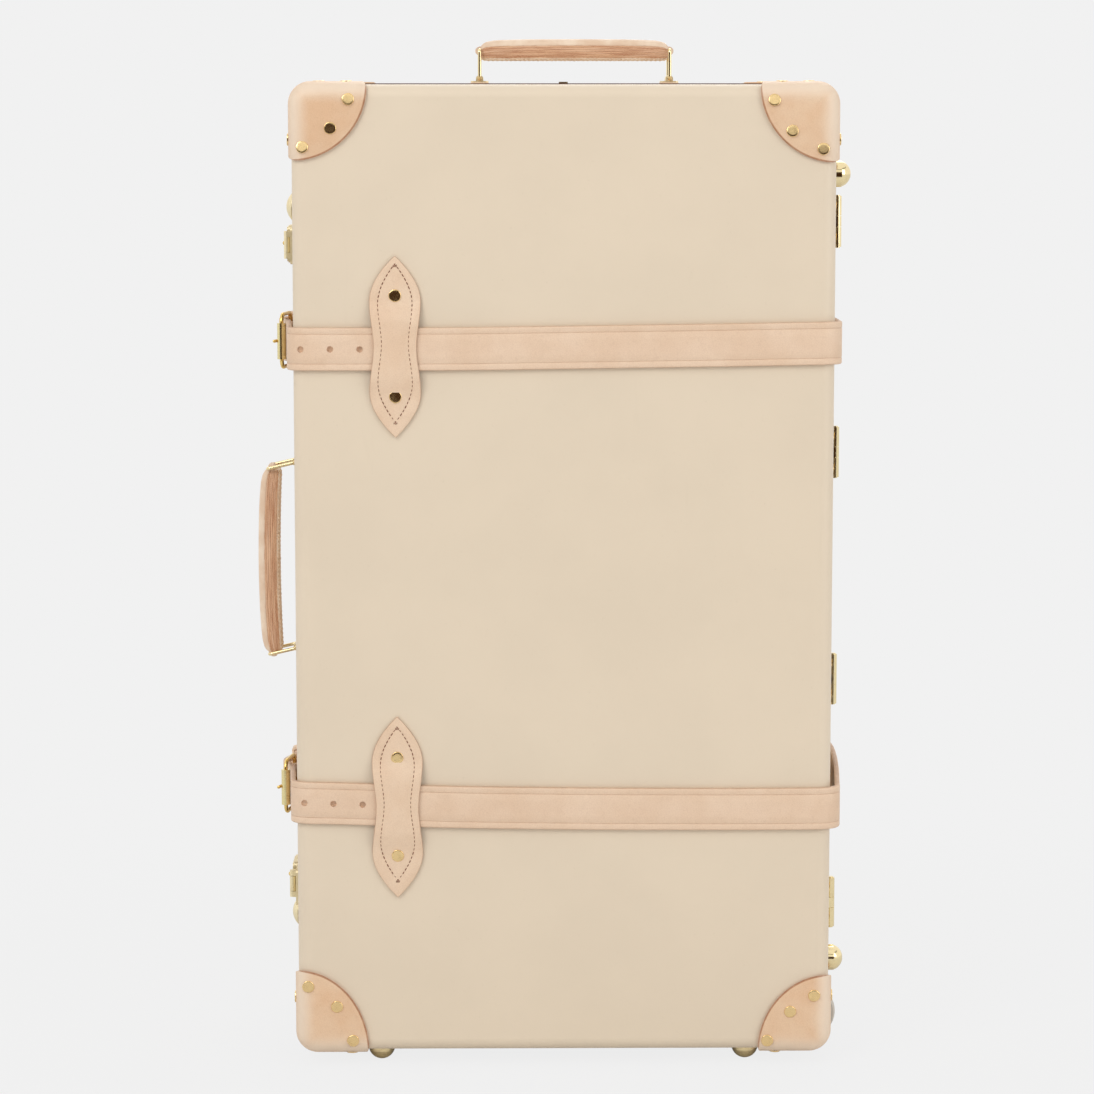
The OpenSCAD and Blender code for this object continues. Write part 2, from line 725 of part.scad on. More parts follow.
/* Latches, in the buckle frame: x forward from the seam, y up, z off the wall */
lock_low = bound_off;
lock_high = lock_low + lock_t;
lock_from = -2.2;
lock_corner_r = 3;
lock_step = 1;
hasp_low = lock_high + skin_gap;
hasp_pivot_x = 8;
hasp_barrel_r = 2.5;
hasp_pivot_z = hasp_low + hasp_t - hasp_barrel_r;
hasp_pin_d = 2.4;
hasp_tip_x = -18.5;
hasp_corner_r = 2;
staple_x = -15;
staple_w = 8;
staple_t = 2.2;
staple_low = lock_low + 2;
bolt_w = 3.6;
bolt_t = 1.8;
bolt_z = lock_low + 4;
bolt_gap = 0.3;
staple_gap = 0.5;
knob_x = -27;
stem_d = 3.2;
knob_d = 7;
knob_neck_d = 4;
knob_neck_h = 2;
knob_ball_r = 2;

module latch_place(s) on_wall("lock", [-wall_x, y_seam, z_mid + s * latch_at]) children();

// Stepped case with a slot for the staple, a channel for the bolt and one for its stem
module lock_case() difference() {
  union() {
    translate([lock_from - lock_len / 2, 0, lock_low])
      plate(lock_len, lock_w, lock_t - lock_step, lock_corner_r);
    translate([lock_from - lock_len / 2, 0, lock_low])
      plate(lock_len - 2 * lock_step, lock_w - 2 * lock_step, lock_t, lock_corner_r - lock_step / 2);
  }
  translate([staple_x - staple_t / 2 - staple_gap, -staple_w / 2 - staple_gap, staple_low - staple_gap])
    cube([lock_len, staple_w + 2 * staple_gap, lock_t]);
  translate([knob_x - bolt_w, -bolt_w / 2 - bolt_gap, bolt_z - bolt_t / 2 - bolt_gap])
    cube([lock_len / 2, bolt_w + 2 * bolt_gap, bolt_t + 2 * bolt_gap]);
  translate([knob_x - stem_d / 2 - bolt_gap, -stem_d / 2 - bolt_gap, bolt_z])
    cube([slide_travel + stem_d + 2 * bolt_gap, stem_d + 2 * bolt_gap, lock_t]);
}

module lock_cases() color(brass) for (s = [-1, 1]) latch_place(s) lock_case();

// Bolt, stem and turned thumb knob, drawn back
module thumb_slide(s) color([0.70, 0.58, 0.30]) latch_place(s) {
  bolt_from = knob_x - 3;
  translate([bolt_from, -bolt_w / 2, bolt_z - bolt_t / 2])
    cube([staple_x - staple_t / 2 - staple_gap - bolt_gap - bolt_from, bolt_w, bolt_t]);
  translate([knob_x, 0, bolt_z]) cylinder(d = stem_d, h = lock_high + 2 * bolt_gap - bolt_z);
  translate([knob_x, 0, lock_high + bolt_gap]) {
    cylinder(d1 = knob_d, d2 = knob_neck_d, h = knob_neck_h);
    translate([0, 0, knob_neck_h + knob_ball_r / 3]) sphere(knob_ball_r);
  }
}

// Strap of the hasp with its barrel, and the slotted staple that the bolt enters
module hasp(s) color(brass) latch_place(s) {
  difference() {
    union() {
      translate([(hasp_tip_x + hasp_pivot_x) / 2, 0, hasp_low])
        plate(hasp_pivot_x - hasp_tip_x, hasp_w, hasp_t, hasp_corner_r);
      translate([hasp_pivot_x, 0, hasp_pivot_z]) bar(2 * hasp_barrel_r, hasp_w);
    }
    translate([hasp_pivot_x, 0, hasp_pivot_z]) bar(hasp_pin_d + 2 * turn_gap, hasp_w + 2);
  }
  translate([staple_x - staple_t / 2, -staple_w / 2, staple_low]) difference() {
    cube([staple_t, staple_w, hasp_low + skin_gap - staple_low]);
    translate([-1, (staple_w - bolt_w) / 2 - bolt_gap, bolt_z - bolt_t / 2 - staple_low - bolt_gap])
      cube([staple_t + 2, bolt_w + 2 * bolt_gap, bolt_t + 2 * bolt_gap]);
  }
}

hasp_plate_from = 3.4;
hasp_plate_len = 22;
hasp_plate_t = 2.4;
hasp_ear_w = 4.5;
hasp_gap = 0.3;
hasp_pin_len = hasp_w + 2 * (hasp_gap + hasp_ear_w);

module hasp_plates() color(brass) for (s = [-1, 1]) latch_place(s) difference() {
  union() {
    translate([hasp_plate_from + hasp_plate_len / 2, 0, lock_low])
      plate(hasp_plate_len, lock_w, hasp_plate_t, lock_corner_r);
    for (y = [-1, 1]) translate([hasp_pivot_x, y * (hasp_w / 2 + hasp_gap + hasp_ear_w / 2), 0]) {
      translate([0, 0, hasp_pivot_z]) bar(2 * hasp_barrel_r, hasp_ear_w);
      translate([-hasp_barrel_r, -hasp_ear_w / 2, lock_low])
        cube([2 * hasp_barrel_r, hasp_ear_w, hasp_pivot_z - lock_low]);
    }
  }
  translate([hasp_pivot_x, 0, hasp_pivot_z]) bar(hasp_pin_d + 2 * turn_gap, hasp_pin_len + 2);
}

module hasp_pins() color(brass) for (s = [-1, 1]) latch_place(s)
  translate([hasp_pivot_x, 0, hasp_pivot_z]) bar(hasp_pin_d, hasp_pin_len);

// Domed key cylinder beyond each latch, with its key slot
key_slot_w = 2;
key_slot_len = 8;
key_slot_d = 3;

module key_boss() difference() {
  union() {
    cylinder(d = boss_d, h = boss_h / 2);
    cap = boss_h / 2;
    ball = (boss_d * boss_d / 4 + cap * cap) / (2 * cap);
    intersection() {
      cylinder(d = boss_d, h = boss_h);
      translate([0, 0, boss_h - ball]) sphere(ball);
    }
  }
  translate([-key_slot_w / 2, -key_slot_len / 2, boss_h - key_slot_d])
    cube([key_slot_w, key_slot_len, 2 * key_slot_d]);
}

module key_bosses() color(brass) for (s = [-1, 1])
  latch_place(s) translate([lock_from - lock_len / 2, s * boss_at, skin_gap]) key_boss();

/* Handles, in a frame where x runs along the handle and z off the wall */
module top_handle() translate([top_shift, y_seam + handle_behind, z_top]) children();

module side_handle() translate([-wall_x, y_seam + handle_behind, z_mid + side_shift])
  rotate([0, -90, 0]) children();

module at_brackets() for (s = [-1, 1]) translate([s * handle_span / 2, 0, 0]) children();

bracket_r = 2.9;
bracket_len = loop_w - 2 * loop_wire_d - 2 * loop_corner_r - 1;
flange_t = 1.2;
flange_w = 14;
flange_r = 2;
pad_w = 20;
pad_over = 4;
pad_r = 4;

module bracket() difference() {
  union() {
    translate([0, 0, skin_gap + pad_t]) plate(flange_w, bracket_len, flange_t, flange_r);
    translate([0, 0, pivot_h]) bar(2 * bracket_r, bracket_len);
    translate([-bracket_r, -bracket_len / 2, skin_gap + pad_t])
      cube([2 * bracket_r, bracket_len, pivot_h - skin_gap - pad_t]);
  }
  translate([0, 0, pivot_h]) bar(loop_wire_d + 2 * turn_gap, bracket_len + 2);
}

module pad() translate([0, 0, skin_gap]) plate(pad_w, loop_w + pad_over, pad_t, pad_r);

module handle_pads() color(tan) {
  top_handle() at_brackets() pad();
  side_handle() at_brackets() pad();
}

module handle_brackets() color(brass) {
  top_handle() at_brackets() bracket();
  side_handle() at_brackets() bracket();
}

// Wire loop on the bracket at end s, leaning by lean degrees towards +x
module handle_loop(s, lean) translate([s * handle_span / 2, 0, pivot_h])
  rotate([0, lean - 90, 0])
    wire_loop(loop_arm, loop_w - loop_wire_d, loop_wire_d, loop_corner_r);

grip_half = handle_span / 2 + grip_over;

// Side view of a grip: a flat top, a belly that draws in towards both ends
module grip_side() {
  n = 24;
  upper = [for (i = [-n:n]) let (u = sin(90 * i / n))
    [grip_half * u, grip_t / 2 * sqrt(max(0, 1 - pow(abs(u), 12)))]];
  lower = [for (i = [n - 1:-1:-n + 1]) let (u = sin(90 * i / n))
    [grip_half * u, -grip_t / 2 * sqrt(max(0, 1 - pow(abs(u), 5)))]];
  polygon(concat(upper, lower));
}

module grip_end_view() {
  polygon([for (i = [0:23]) let (a = 15 * i + 7.5, c = cos(a), s = sin(a))
    [grip_w / 2 * sign(c) * pow(abs(c), 0.4), (grip_t / 2 + fit_gap) * sign(s) * pow(abs(s), 0.4)]]);
}

// Grip carried on the upper bars of both loops; the second bore is the looser one
module grip(lean) translate([loop_arm * sin(lean), 0, pivot_h + loop_arm * cos(lean)])
  difference() {
    intersection() {
      rotate([90, 0, 0]) linear_extrude(grip_w, center = true) grip_side();
      rotate([90, 0, 90]) linear_extrude(2 * grip_half + 2, center = true) grip_end_view();
    }
    translate([-handle_span / 2, 0, 0]) bar(loop_wire_d + 2 * turn_gap, grip_w + 2);
    translate([handle_span / 2, 0, 0]) bar(loop_wire_d + 2 * fit_gap, grip_w + 2);
  }

module top_loop_left() color(brass) top_handle() handle_loop(-1, 0);

module top_loop_right() color(brass) top_handle() handle_loop(1, 0);

module top_grip() color(tan) top_handle() grip(0);

module side_loop_lower() color(brass) side_handle() handle_loop(-1, -side_sag);

module side_loop_upper() color(brass) side_handle() handle_loop(1, -side_sag);

module side_grip() color(tan) side_handle() grip(-side_sag);

/* Feet */
foot_straight = 0.42 * foot_h;
foot_flat = 0.4;

// Brass dome with a small flat worn on its tip
module foot() {
  cap = foot_h - foot_straight + foot_flat;
  ball = (foot_d * foot_d / 4 + cap * cap) / (2 * cap);
  cylinder(d = foot_d, h = foot_straight);
  intersection() {
    cylinder(d = foot_d, h = foot_h);
    translate([0, 0, foot_h + foot_flat - ball]) sphere(ball);
  }
}

module feet(y) {
  for (x = [-1, 1]) on_wall("bottom", [x * (wall_x - foot_side), y, foot_h]) foot();
  for (z = [-1, 1]) on_wall("hinge", [wall_x, y, z_mid + z * (case_h / 2 - foot_end)]) foot();
}

module base_feet() color(brass) feet(y_back - foot_in);

module lid_feet() color(brass) feet(y_front + foot_in);

framed() base_shell();
framed() base_frame();
framed() base_lining();
framed() base_binding();
framed() base_leather_corners();
framed() base_corner_rivets();
framed() base_straps();
framed() strap_tips();
framed() strap_loops();
framed() strap_rivets();
framed() base_hinge_leaves();
framed() base_hinge_rivets();
framed() hinge_pins();
framed() lock_cases();
framed() key_bosses();
framed() handle_pads();
framed() handle_brackets();
framed() buckle_frames();
framed() base_feet();
framed() wheel_housings();
framed() wheel_axles();
framed() trim_joiner();
framed() lid_shell();
framed() lid_frame();
framed() lid_lining();
framed() lid_binding();
framed() lid_leather_corners();
framed() lid_corner_rivets();
framed() lid_straps();
framed() keeper_patches();
framed() keeper_rivets();
framed() lid_hinge_leaves();
framed() lid_hinge_rivets();
framed() hasp_plates();
framed() hasp_pins();
framed() lid_feet();
framed() hasp(1);  // upper_hasp
framed() hasp(-1);  // lower_hasp
framed() thumb_slide(1);  // upper_thumb_slide
framed() thumb_slide(-1);  // lower_thumb_slide
framed() buckle_roller(1);  // upper_buckle_roller
framed() buckle_roller(-1);  // lower_buckle_roller
framed() buckle_prong(1);  // upper_buckle_prong
framed() buckle_prong(-1);  // lower_buckle_prong
framed() top_loop_left();
framed() top_loop_right();
framed() top_grip();
framed() side_loop_lower();
framed() side_loop_upper();
framed() side_grip();
framed() wheel_tyre(0);  // front_wheel_tyre
framed() wheel_hub(0);  // front_wheel_hub
framed() wheel_tyre(1);  // rear_wheel_tyre
framed() wheel_hub(1);  // rear_wheel_hub
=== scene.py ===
"""Dresses the strapped fibreboard suitcase: leather, stitching, brass, wood and studio.

Every piece is in metres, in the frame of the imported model: +X is the hinge side, -Y the
lid and +Z up.
"""

import logging
from collections.abc import Callable, Iterable, Sequence
from dataclasses import dataclass, field
from enum import Enum
from math import atan2, cos, dist, hypot, pi, radians, sin, sqrt

import bmesh
import bpy
from bmesh.types import BMesh
from bpy.types import ID, Material, Mesh, Node, NodeSocket, NodeTree, Object
from mathutils import Matrix, Vector


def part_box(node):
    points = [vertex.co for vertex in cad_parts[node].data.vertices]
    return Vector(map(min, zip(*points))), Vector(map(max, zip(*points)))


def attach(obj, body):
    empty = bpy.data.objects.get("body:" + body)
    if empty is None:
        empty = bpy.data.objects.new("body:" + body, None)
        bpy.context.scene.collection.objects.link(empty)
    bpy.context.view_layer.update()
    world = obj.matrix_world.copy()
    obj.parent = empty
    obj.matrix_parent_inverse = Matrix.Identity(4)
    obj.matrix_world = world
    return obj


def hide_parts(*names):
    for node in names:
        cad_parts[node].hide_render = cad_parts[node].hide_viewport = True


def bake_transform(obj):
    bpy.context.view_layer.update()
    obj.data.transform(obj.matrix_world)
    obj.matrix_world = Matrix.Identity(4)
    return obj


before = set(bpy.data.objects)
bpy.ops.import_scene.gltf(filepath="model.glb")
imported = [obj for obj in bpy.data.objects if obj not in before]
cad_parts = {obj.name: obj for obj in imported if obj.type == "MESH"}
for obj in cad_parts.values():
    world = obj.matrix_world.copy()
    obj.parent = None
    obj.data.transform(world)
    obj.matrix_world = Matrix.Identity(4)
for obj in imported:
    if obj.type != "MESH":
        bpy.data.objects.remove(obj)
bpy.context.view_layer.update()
NODES: dict[str, Object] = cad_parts
LOG = logging.getLogger("suitcase")
MM = 0.001
PLACE = "place"
# name of the mesh attribute for real rubbing and burnish, and for painted shade round the strap holes
WEAR_AND_SHADE = "wear"
AIM = "aim"
PEG_SIDES = 24
SHARP = 40.0
STITCH_SIZES = (0.85, 1.08)
CUT_LENGTH = 30 * MM
X_AXIS = Vector((1, 0, 0))
Y_AXIS = Vector((0, 1, 0))
Z_AXIS = Vector((0, 0, 1))

Colour = tuple[float, float, float]
Pair = tuple[float, float]
Mark = tuple[float, float, float]
Corner = tuple[int, int]
Row = tuple[Pair, ...]
Outline = list[Pair]


# Colours and small sums


def paint(red: int, green: int, blue: int) -> Colour:
    """Turns a colour as a screen shows it, 0 to 255, into linear light."""
    shown = [part / 255 for part in (red, green, blue)]
    return tuple(s / 12.92 if s < 0.04045 else ((s + 0.055) / 1.055) ** 2.4 for s in shown)


def ease(t: float) -> float:
    """Smooth rise from 0 to 1 while t runs from 0 to 1."""
    t = min(1.0, max(0.0, t))
    return t * t * (3 - 2 * t)


def mix(a: float, b: float, t: float) -> float:
    """Straight mix from a to b."""
    return a + (b - a) * t


def read(row: Sequence[Pair], at: float) -> float:
    """Reads a row of marks, straight between them and level beyond its ends.

    Args:
        row: Places and values, in order.
        at: The place.

    Returns:
        The value there.
    """
    if at <= row[0][0]:
        return row[0][1]
    for (x0, y0), (x1, y1) in zip(row, row[1:]):
        if at <= x1:
            return mix(y0, y1, (at - x0) / (x1 - x0))
    return row[-1][1]


def pick(sign: int, both: Sequence) -> object:
    """The upper strap's value of two for a sign of 1, else the lower strap's."""
    return both[0 if sign > 0 else 1]


def slope(curve: Callable[[float], float], at: float, step: float) -> float:
    """Slope of a curve at a place, over a step to both sides."""
    return (curve(at + step) - curve(at - step)) / (2 * step)


# Shader sums


class Field:
    """A shader socket that takes part in arithmetic."""

    def __init__(self, graph: "Graph", socket: NodeSocket) -> None:
        """Keeps the socket and the graph that it belongs to."""
        self.graph = graph
        self.socket = socket

    def __add__(self, other: "Term") -> "Field":
        """Sum."""
        return self.graph.maths("ADD", self, other)

    def __radd__(self, other: "Term") -> "Field":
        """Sum with a number in front."""
        return self.graph.maths("ADD", other, self)

    def __sub__(self, other: "Term") -> "Field":
        """Difference."""
        return self.graph.maths("SUBTRACT", self, other)

    def __rsub__(self, other: "Term") -> "Field":
        """Difference with a number in front."""
        return self.graph.maths("SUBTRACT", other, self)

    def __mul__(self, other: "Term") -> "Field":
        """Product."""
        return self.graph.maths("MULTIPLY", self, other)

    def __rmul__(self, other: "Term") -> "Field":
        """Product with a number in front."""
        return self.graph.maths("MULTIPLY", other, self)

    def __truediv__(self, other: "Term") -> "Field":
        """Quotient."""
        return self.graph.maths("DIVIDE", self, other)

    def __abs__(self) -> "Field":
        """Size without sign."""
        return self.graph.maths("ABSOLUTE", self)

    def sine(self) -> "Field":
        """Sine of a value in radians."""
        return self.graph.maths("SINE", self)

    def larger(self, other: "Term") -> "Field":
        """The larger of the two."""
        return self.graph.maths("MAXIMUM", self, other)

    def rise(self, low: float, high: float) -> "Field":
        """Smooth step.

        Args:
            low: Value at which the result is 0.
            high: Value at which the result is 1; below low for a fall.

        Returns:
            The step, from 0 to 1.
        """
        flip = high < low
        ends = {"From Min": min(low, high), "From Max": max(low, high),
                "To Min": float(flip), "To Max": float(not flip)}
        made = self.graph.node("ShaderNodeMapRange", {"Value": self, **ends},
                               interpolation_type="SMOOTHSTEP")
        return Field(self.graph, made.outputs[0])

    def line(self, at: float, width: float) -> "Field":
        """A soft line, 1 where the value is at a mark and faded at a width from it."""
        return abs(self - at).rise(width, 0.0)


Term = Field | float
Socket = Field | NodeSocket
Tint = Socket | Colour


class Nodes:
    """A node tree that nodes are added to."""

    def __init__(self, tree: NodeTree) -> None:
        """Keeps the tree."""
        self.tree = tree

    def node(self, kind: str, inputs: dict | None = None, **settings: object) -> Node:
        """Makes one node of any type.

        Args:
            kind: The node's type.
            inputs: Values or links of its sockets, by name or number.
            **settings: Its properties, set first.

        Returns:
            The node.
        """
        made = self.tree.nodes.new(kind)
        for key, value in settings.items():
            setattr(made, key, value)
        for key, value in (inputs or {}).items():
            if isinstance(value, Field):
                self.tree.links.new(value.socket, made.inputs[key])
            elif isinstance(value, NodeSocket):
                self.tree.links.new(value, made.inputs[key])
            elif isinstance(value, tuple) and made.inputs[key].type == "RGBA":
                made.inputs[key].default_value = (*value, 1.0)
            else:
                made.inputs[key].default_value = value
        return made


class Graph(Nodes):
    """The node tree of one material."""

    def __init__(self, name: str, tree: NodeTree | None = None) -> None:
        """Starts an empty material, or clears the tree that is given.

        Args:
            name: The material's name.
            tree: A tree to fill instead of a new material's.
        """
        if tree is None:
            self.material = bpy.data.materials.new(name)
            self.material.use_nodes = True
            tree = self.material.node_tree
        super().__init__(tree)
        self.tree.nodes.clear()
        self.coordinates: Field | None = None

    def maths(self, operation: str, *values: Term) -> Field:
        """Adds a Math node."""
        made = self.node("ShaderNodeMath", dict(enumerate(values)), operation=operation)
        return Field(self, made.outputs[0])

    def place(self) -> Field:
        """Object coordinates, in metres.

        Returns:
            The coordinates.
        """
        if self.coordinates is None:
            made = self.node("ShaderNodeTexCoord")
            self.coordinates = Field(self, made.outputs["Object"])
        return self.coordinates

    def attribute(self, name: str, output: str = "Vector") -> Field:
        """Reads an attribute of the mesh."""
        made = self.node("ShaderNodeAttribute", attribute_name=name)
        return Field(self, made.outputs[output])

    def ray(self, kind: str) -> Field:
        """Whether the ray that asks is of a kind, such as Camera or Glossy."""
        return Field(self, self.node("ShaderNodeLightPath").outputs[f"Is {kind} Ray"])

    def split(self, vector: Socket) -> tuple[Field, Field, Field]:
        """Takes a vector apart."""
        made = self.node("ShaderNodeSeparateXYZ", {0: vector})
        return tuple(Field(self, out) for out in made.outputs)

    def stretch(self, vector: Socket, scale: Mark, turn: Mark = (0, 0, 0)) -> Field:
        """Scales coordinates along each axis and turns them, in radians."""
        made = self.node("ShaderNodeMapping", {"Vector": vector, "Scale": scale, "Rotation": turn})
        return Field(self, made.outputs[0])

    def size(self, vector: Socket) -> Field:
        """Length of a vector."""
        made = self.node("ShaderNodeVectorMath", {0: vector}, operation="LENGTH")
        return Field(self, made.outputs["Value"])

    def noise(self, vector: Socket, scale: float, detail: float = 3.0, rough: float = 0.55,
              twist: float = 0.0) -> Field:
        """Cloudy noise around 0.5, with its scale in cells per metre and detail as finer layers."""
        made = self.node("ShaderNodeTexNoise", {"Vector": vector, "Scale": scale, "Detail": detail,
                                                "Roughness": rough, "Distortion": twist})
        return Field(self, made.outputs[0])

    def streaks(self, vector: Socket, scale: Mark, *layers: float) -> Field:
        """Noise with its own scale along each axis; detail, strength and twist as in noise."""
        return self.noise(self.stretch(vector, scale), 1, *layers)

    def cells(self, vector: Socket, scale: float) -> Field:
        """Distance from the edges of a cell pattern, with its scale in cells per metre."""
        made = self.node("ShaderNodeTexVoronoi", {"Vector": vector, "Scale": scale},
                         feature="DISTANCE_TO_EDGE")
        return Field(self, made.outputs["Distance"])

    def tint(self, amount: Field, below: Tint, above: Tint) -> NodeSocket:
        """Mixes two colours; the amount is the second one's share."""
        made = self.node("ShaderNodeMix", {0: amount, 6: below, 7: above}, data_type="RGBA")
        return made.outputs[2]

    def relief(self, height: Field, depth: float, under: Socket | None = None) -> NodeSocket:
        """Bump from a height field.

        Args:
            height: Height, about 0 to 1.
            depth: Real depth of the relief, in metres.
            under: Normal that this relief is added to.

        Returns:
            The new normal.
        """
        inputs = {"Height": height, "Strength": 1.0, "Distance": depth}
        if under is not None:
            inputs["Normal"] = under
        return self.node("ShaderNodeBump", inputs).outputs["Normal"]

    def surface(self, inputs: dict) -> Material:
        """Ends the material in a Principled shader.

        Args:
            inputs: Values or links of the shader's sockets.

        Returns:
            The finished material.
        """
        shader = self.node("ShaderNodeBsdfPrincipled", inputs)
        self.node("ShaderNodeOutputMaterial", {"Surface": shader.outputs[0]})
        return self.material


# Finishes


@dataclass(frozen=True)
class Finish:
    """One finish; the record's slot that it belongs to and its main colour."""

    name: str
    slot: str
    colour: Colour

    def build(self) -> Material:
        """Makes the material; each kind of finish has its own."""
        raise NotImplementedError

    def material(self) -> Material:
        """The material, made once."""
        return bpy.data.materials.get(self.name) or self.build()


def shade(colour: Colour, share: float) -> Colour:
    """A colour times a share of light."""
    return tuple(part * share for part in colour)


@dataclass(frozen=True)
class Fibreboard(Finish):
    """Lacquered fibreboard: soft mottling, faint scuffs and a slightly rippled sheet."""

    scuff: Colour = paint(206, 188, 162)

    def build(self) -> Material:
        """Makes the lacquered board.

        Returns:
            The finished material.
        """
        graph = Graph(self.name)
        place = graph.place()
        mottle = graph.noise(place, 9, 4).rise(0.35, 0.68)
        colour = graph.tint(mottle * 0.5, self.colour, shade(self.colour, 0.94))
        flecks = graph.noise(place, 420, 2).rise(0.66, 0.8)
        colour = graph.tint(flecks * 0.22, colour, self.scuff)
        streaks = graph.streaks(place, (60, 60, 9), 3, 0.6, 1.2).rise(0.66, 0.76)
        colour = graph.tint(streaks * 0.06, colour, self.scuff)
        ripple = graph.relief(graph.noise(place, 14, 2), 0.0006)
        skin = graph.relief(graph.noise(place, 520, 3), 0.00003, ripple)
        rough = 0.40 + graph.noise(place, 60, 3) * 0.14
        return graph.surface({"Base Color": colour, "Roughness": rough, "Normal": skin,
                              "Coat Weight": 0.12, "Coat Roughness": 0.28})


@dataclass(frozen=True)
class Leather(Finish):
    """Undyed leather: grain, pores, handling marks and burnishing, with painted shade in creases and
    round strap holes and a painted highlight on the bends.
    """

    burnt: Colour = paint(150, 98, 62)
    pale: Colour = paint(238, 214, 186)
    grain: float = 620.0
    rim: float = 0.0
    crease: float = 0.0
    half: float = 0.0
    # colour of the painted highlight on the corners' bends
    painted_highlight: Colour = paint(238, 221, 200)
    coat: float = 0.08

    def build(self) -> Material:
        """Makes the leather.

        With rim set, it is burnished beyond that distance from a corner and carries a painted highlight
        on the bends.
        With crease and half set, a line of painted shade runs in each crease and both cut edges are
        burnished.

        Returns:
            The finished material.
        """
        graph = Graph(self.name)
        place = graph.place()
        cloud = graph.noise(place, 28, 4, 0.6)
        colour = graph.tint(cloud.rise(0.3, 0.7), self.pale, self.colour)
        warm = graph.noise(place, 75, 3, 0.6, 0.8).rise(0.52, 0.75)
        colour = graph.tint(warm * 0.2, colour, shade(self.colour, 0.9))
        pores = graph.cells(place, self.grain).rise(0.12, 0.0)
        colour = graph.tint(pores * 0.10, colour, self.burnt)
        wear = graph.attribute(WEAR_AND_SHADE, "Fac")
        own = graph.attribute(PLACE)
        if self.rim > 0:
            reach = graph.size(own)
            wear = wear.larger(reach.rise(self.rim, self.rim + 0.0008) * 0.8)
            wear = wear.larger(reach.line(self.rim - 0.0025, 0.001) * 0.12)
            # painted highlight: paler leather near the case's rounded edges, standing in for the lamps'
            # glint there
            level, deep, upright = graph.split(own)
            bend = level.rise(0.016, 0.001).larger(upright.rise(0.016, 0.001)) * deep.rise(0.012, 0.0)
            colour = graph.tint(bend * 0.7, colour, self.painted_highlight)
        if self.half > 0:
            across = abs(graph.split(own)[1])
            # painted shade: a dark line in each crease groove
            wear = wear.larger(across.line(self.crease, 0.0006) * 0.42)
            wear = wear.larger(across.rise(self.half - 0.0009, self.half) * 0.5)
        fray = graph.noise(place, 240, 3)
        colour = graph.tint((wear * (0.55 + fray * 0.7)).rise(0.0, 1.1), colour, self.burnt)
        swell = graph.relief(graph.noise(place, 70, 2, 0.5), 0.0004)
        skin = graph.relief(1 - pores * 0.7 + graph.noise(place, 1500, 2) * 0.5, 0.00006, swell)
        rough = 0.50 + graph.noise(place, 130, 3) * 0.16 - wear * 0.1
        return graph.surface({"Base Color": colour, "Roughness": rough, "Normal": skin,
                              "Coat Weight": self.coat, "Coat Roughness": 0.3})


@dataclass(frozen=True)
class GripLeather(Finish):
    """Stacked leather of a grip: pale cover, streaked edges of the layers and pale ends."""

    layer: Colour = paint(234, 190, 152)
    streak: Colour = paint(172, 102, 64)
    pale: Colour = paint(238, 216, 192)
    spread: Pair = (0.44, 0.6)
    cover_share: float = 0.30
    welt_share: float = 0.87
    end_from: float = 0.074
    layers: int = 6

    def build(self) -> Material:
        """Makes the leather from the grip's own coordinates: along, across and depth.

        Returns:
            The finished material.
        """
        graph = Graph(self.name)
        own = graph.attribute(PLACE)
        along, across, depth = graph.split(own)
        place = graph.place()
        cloud = graph.noise(place, 60, 3)
        cover = graph.tint(cloud.rise(0.3, 0.7), self.pale, self.colour)
        threads = graph.streaks(own, (30, 900, 62), 4, 0.7, 0.04)
        band = graph.tint(threads.rise(*self.spread), self.layer, self.streak)
        light = graph.streaks(own, (30, 400, 26), 3, 0.6)
        band = graph.tint(light.rise(0.45, 0.7) * 0.6, band, paint(238, 204, 174))
        share = (depth - self.cover_share) / (self.welt_share - self.cover_share)
        joints = (share * pi * self.layers).sine()
        lines = abs(joints).rise(0.2, 0.0)
        band = graph.tint(lines * 0.45, band, shade(self.streak, 0.8))
        wobble = (graph.noise(place, 160, 2) - 0.5) * 0.05
        inside = (depth + wobble).rise(self.cover_share - 0.02, self.cover_share + 0.02)
        inside = inside * (depth + wobble).rise(self.welt_share + 0.015, self.welt_share - 0.015)
        inside = inside * abs(along).rise(self.end_from + 0.001, self.end_from - 0.0012)
        colour = graph.tint(inside, cover, band)
        # darker in the grooves beside the bars
        groove_dark = graph.attribute(WEAR_AND_SHADE, "Fac")
        colour = graph.tint(groove_dark * 0.7, colour, shade(self.streak, 0.6))
        height = graph.noise(place, 300, 3) * 0.5 + threads * inside
        skin = graph.relief(height - lines * inside * 0.8, 0.00025)
        rough = 0.46 + inside * 0.14 + cloud * 0.1
        return graph.surface({"Base Color": colour, "Roughness": rough, "Normal": skin})


@dataclass(frozen=True)
class Brass(Finish):
    """Brass: bright where it is rubbed, clouded and faintly scratched elsewhere."""

    rough: float = 0.20
    tarnish: Colour = paint(158, 116, 62)
    clouded: float = 0.35
    dents: float = 0.0

    def build(self) -> Material:
        """Makes the metal.

        Returns:
            The finished material.
        """
        graph = Graph(self.name)
        place = graph.place()
        cloud = graph.noise(place, 140, 4, 0.65, 0.5).rise(0.42, 0.78)
        spots = graph.noise(place, 700, 2).rise(0.62, 0.78)
        colour = graph.tint(cloud * self.clouded + spots * 0.12, self.colour, self.tarnish)
        scratch = graph.noise(graph.stretch(place, (300, 2600, 500), (0.4, 0.2, 0.7)), 1, 2)
        waves = graph.relief(graph.noise(place, 420, 1), 0.0001 * self.dents)
        skin = graph.relief(scratch, 0.000002, waves)
        rough = self.rough + cloud * 0.14 + scratch * 0.05
        return graph.surface({"Base Color": colour, "Metallic": 1.0, "Roughness": rough, "Normal": skin})


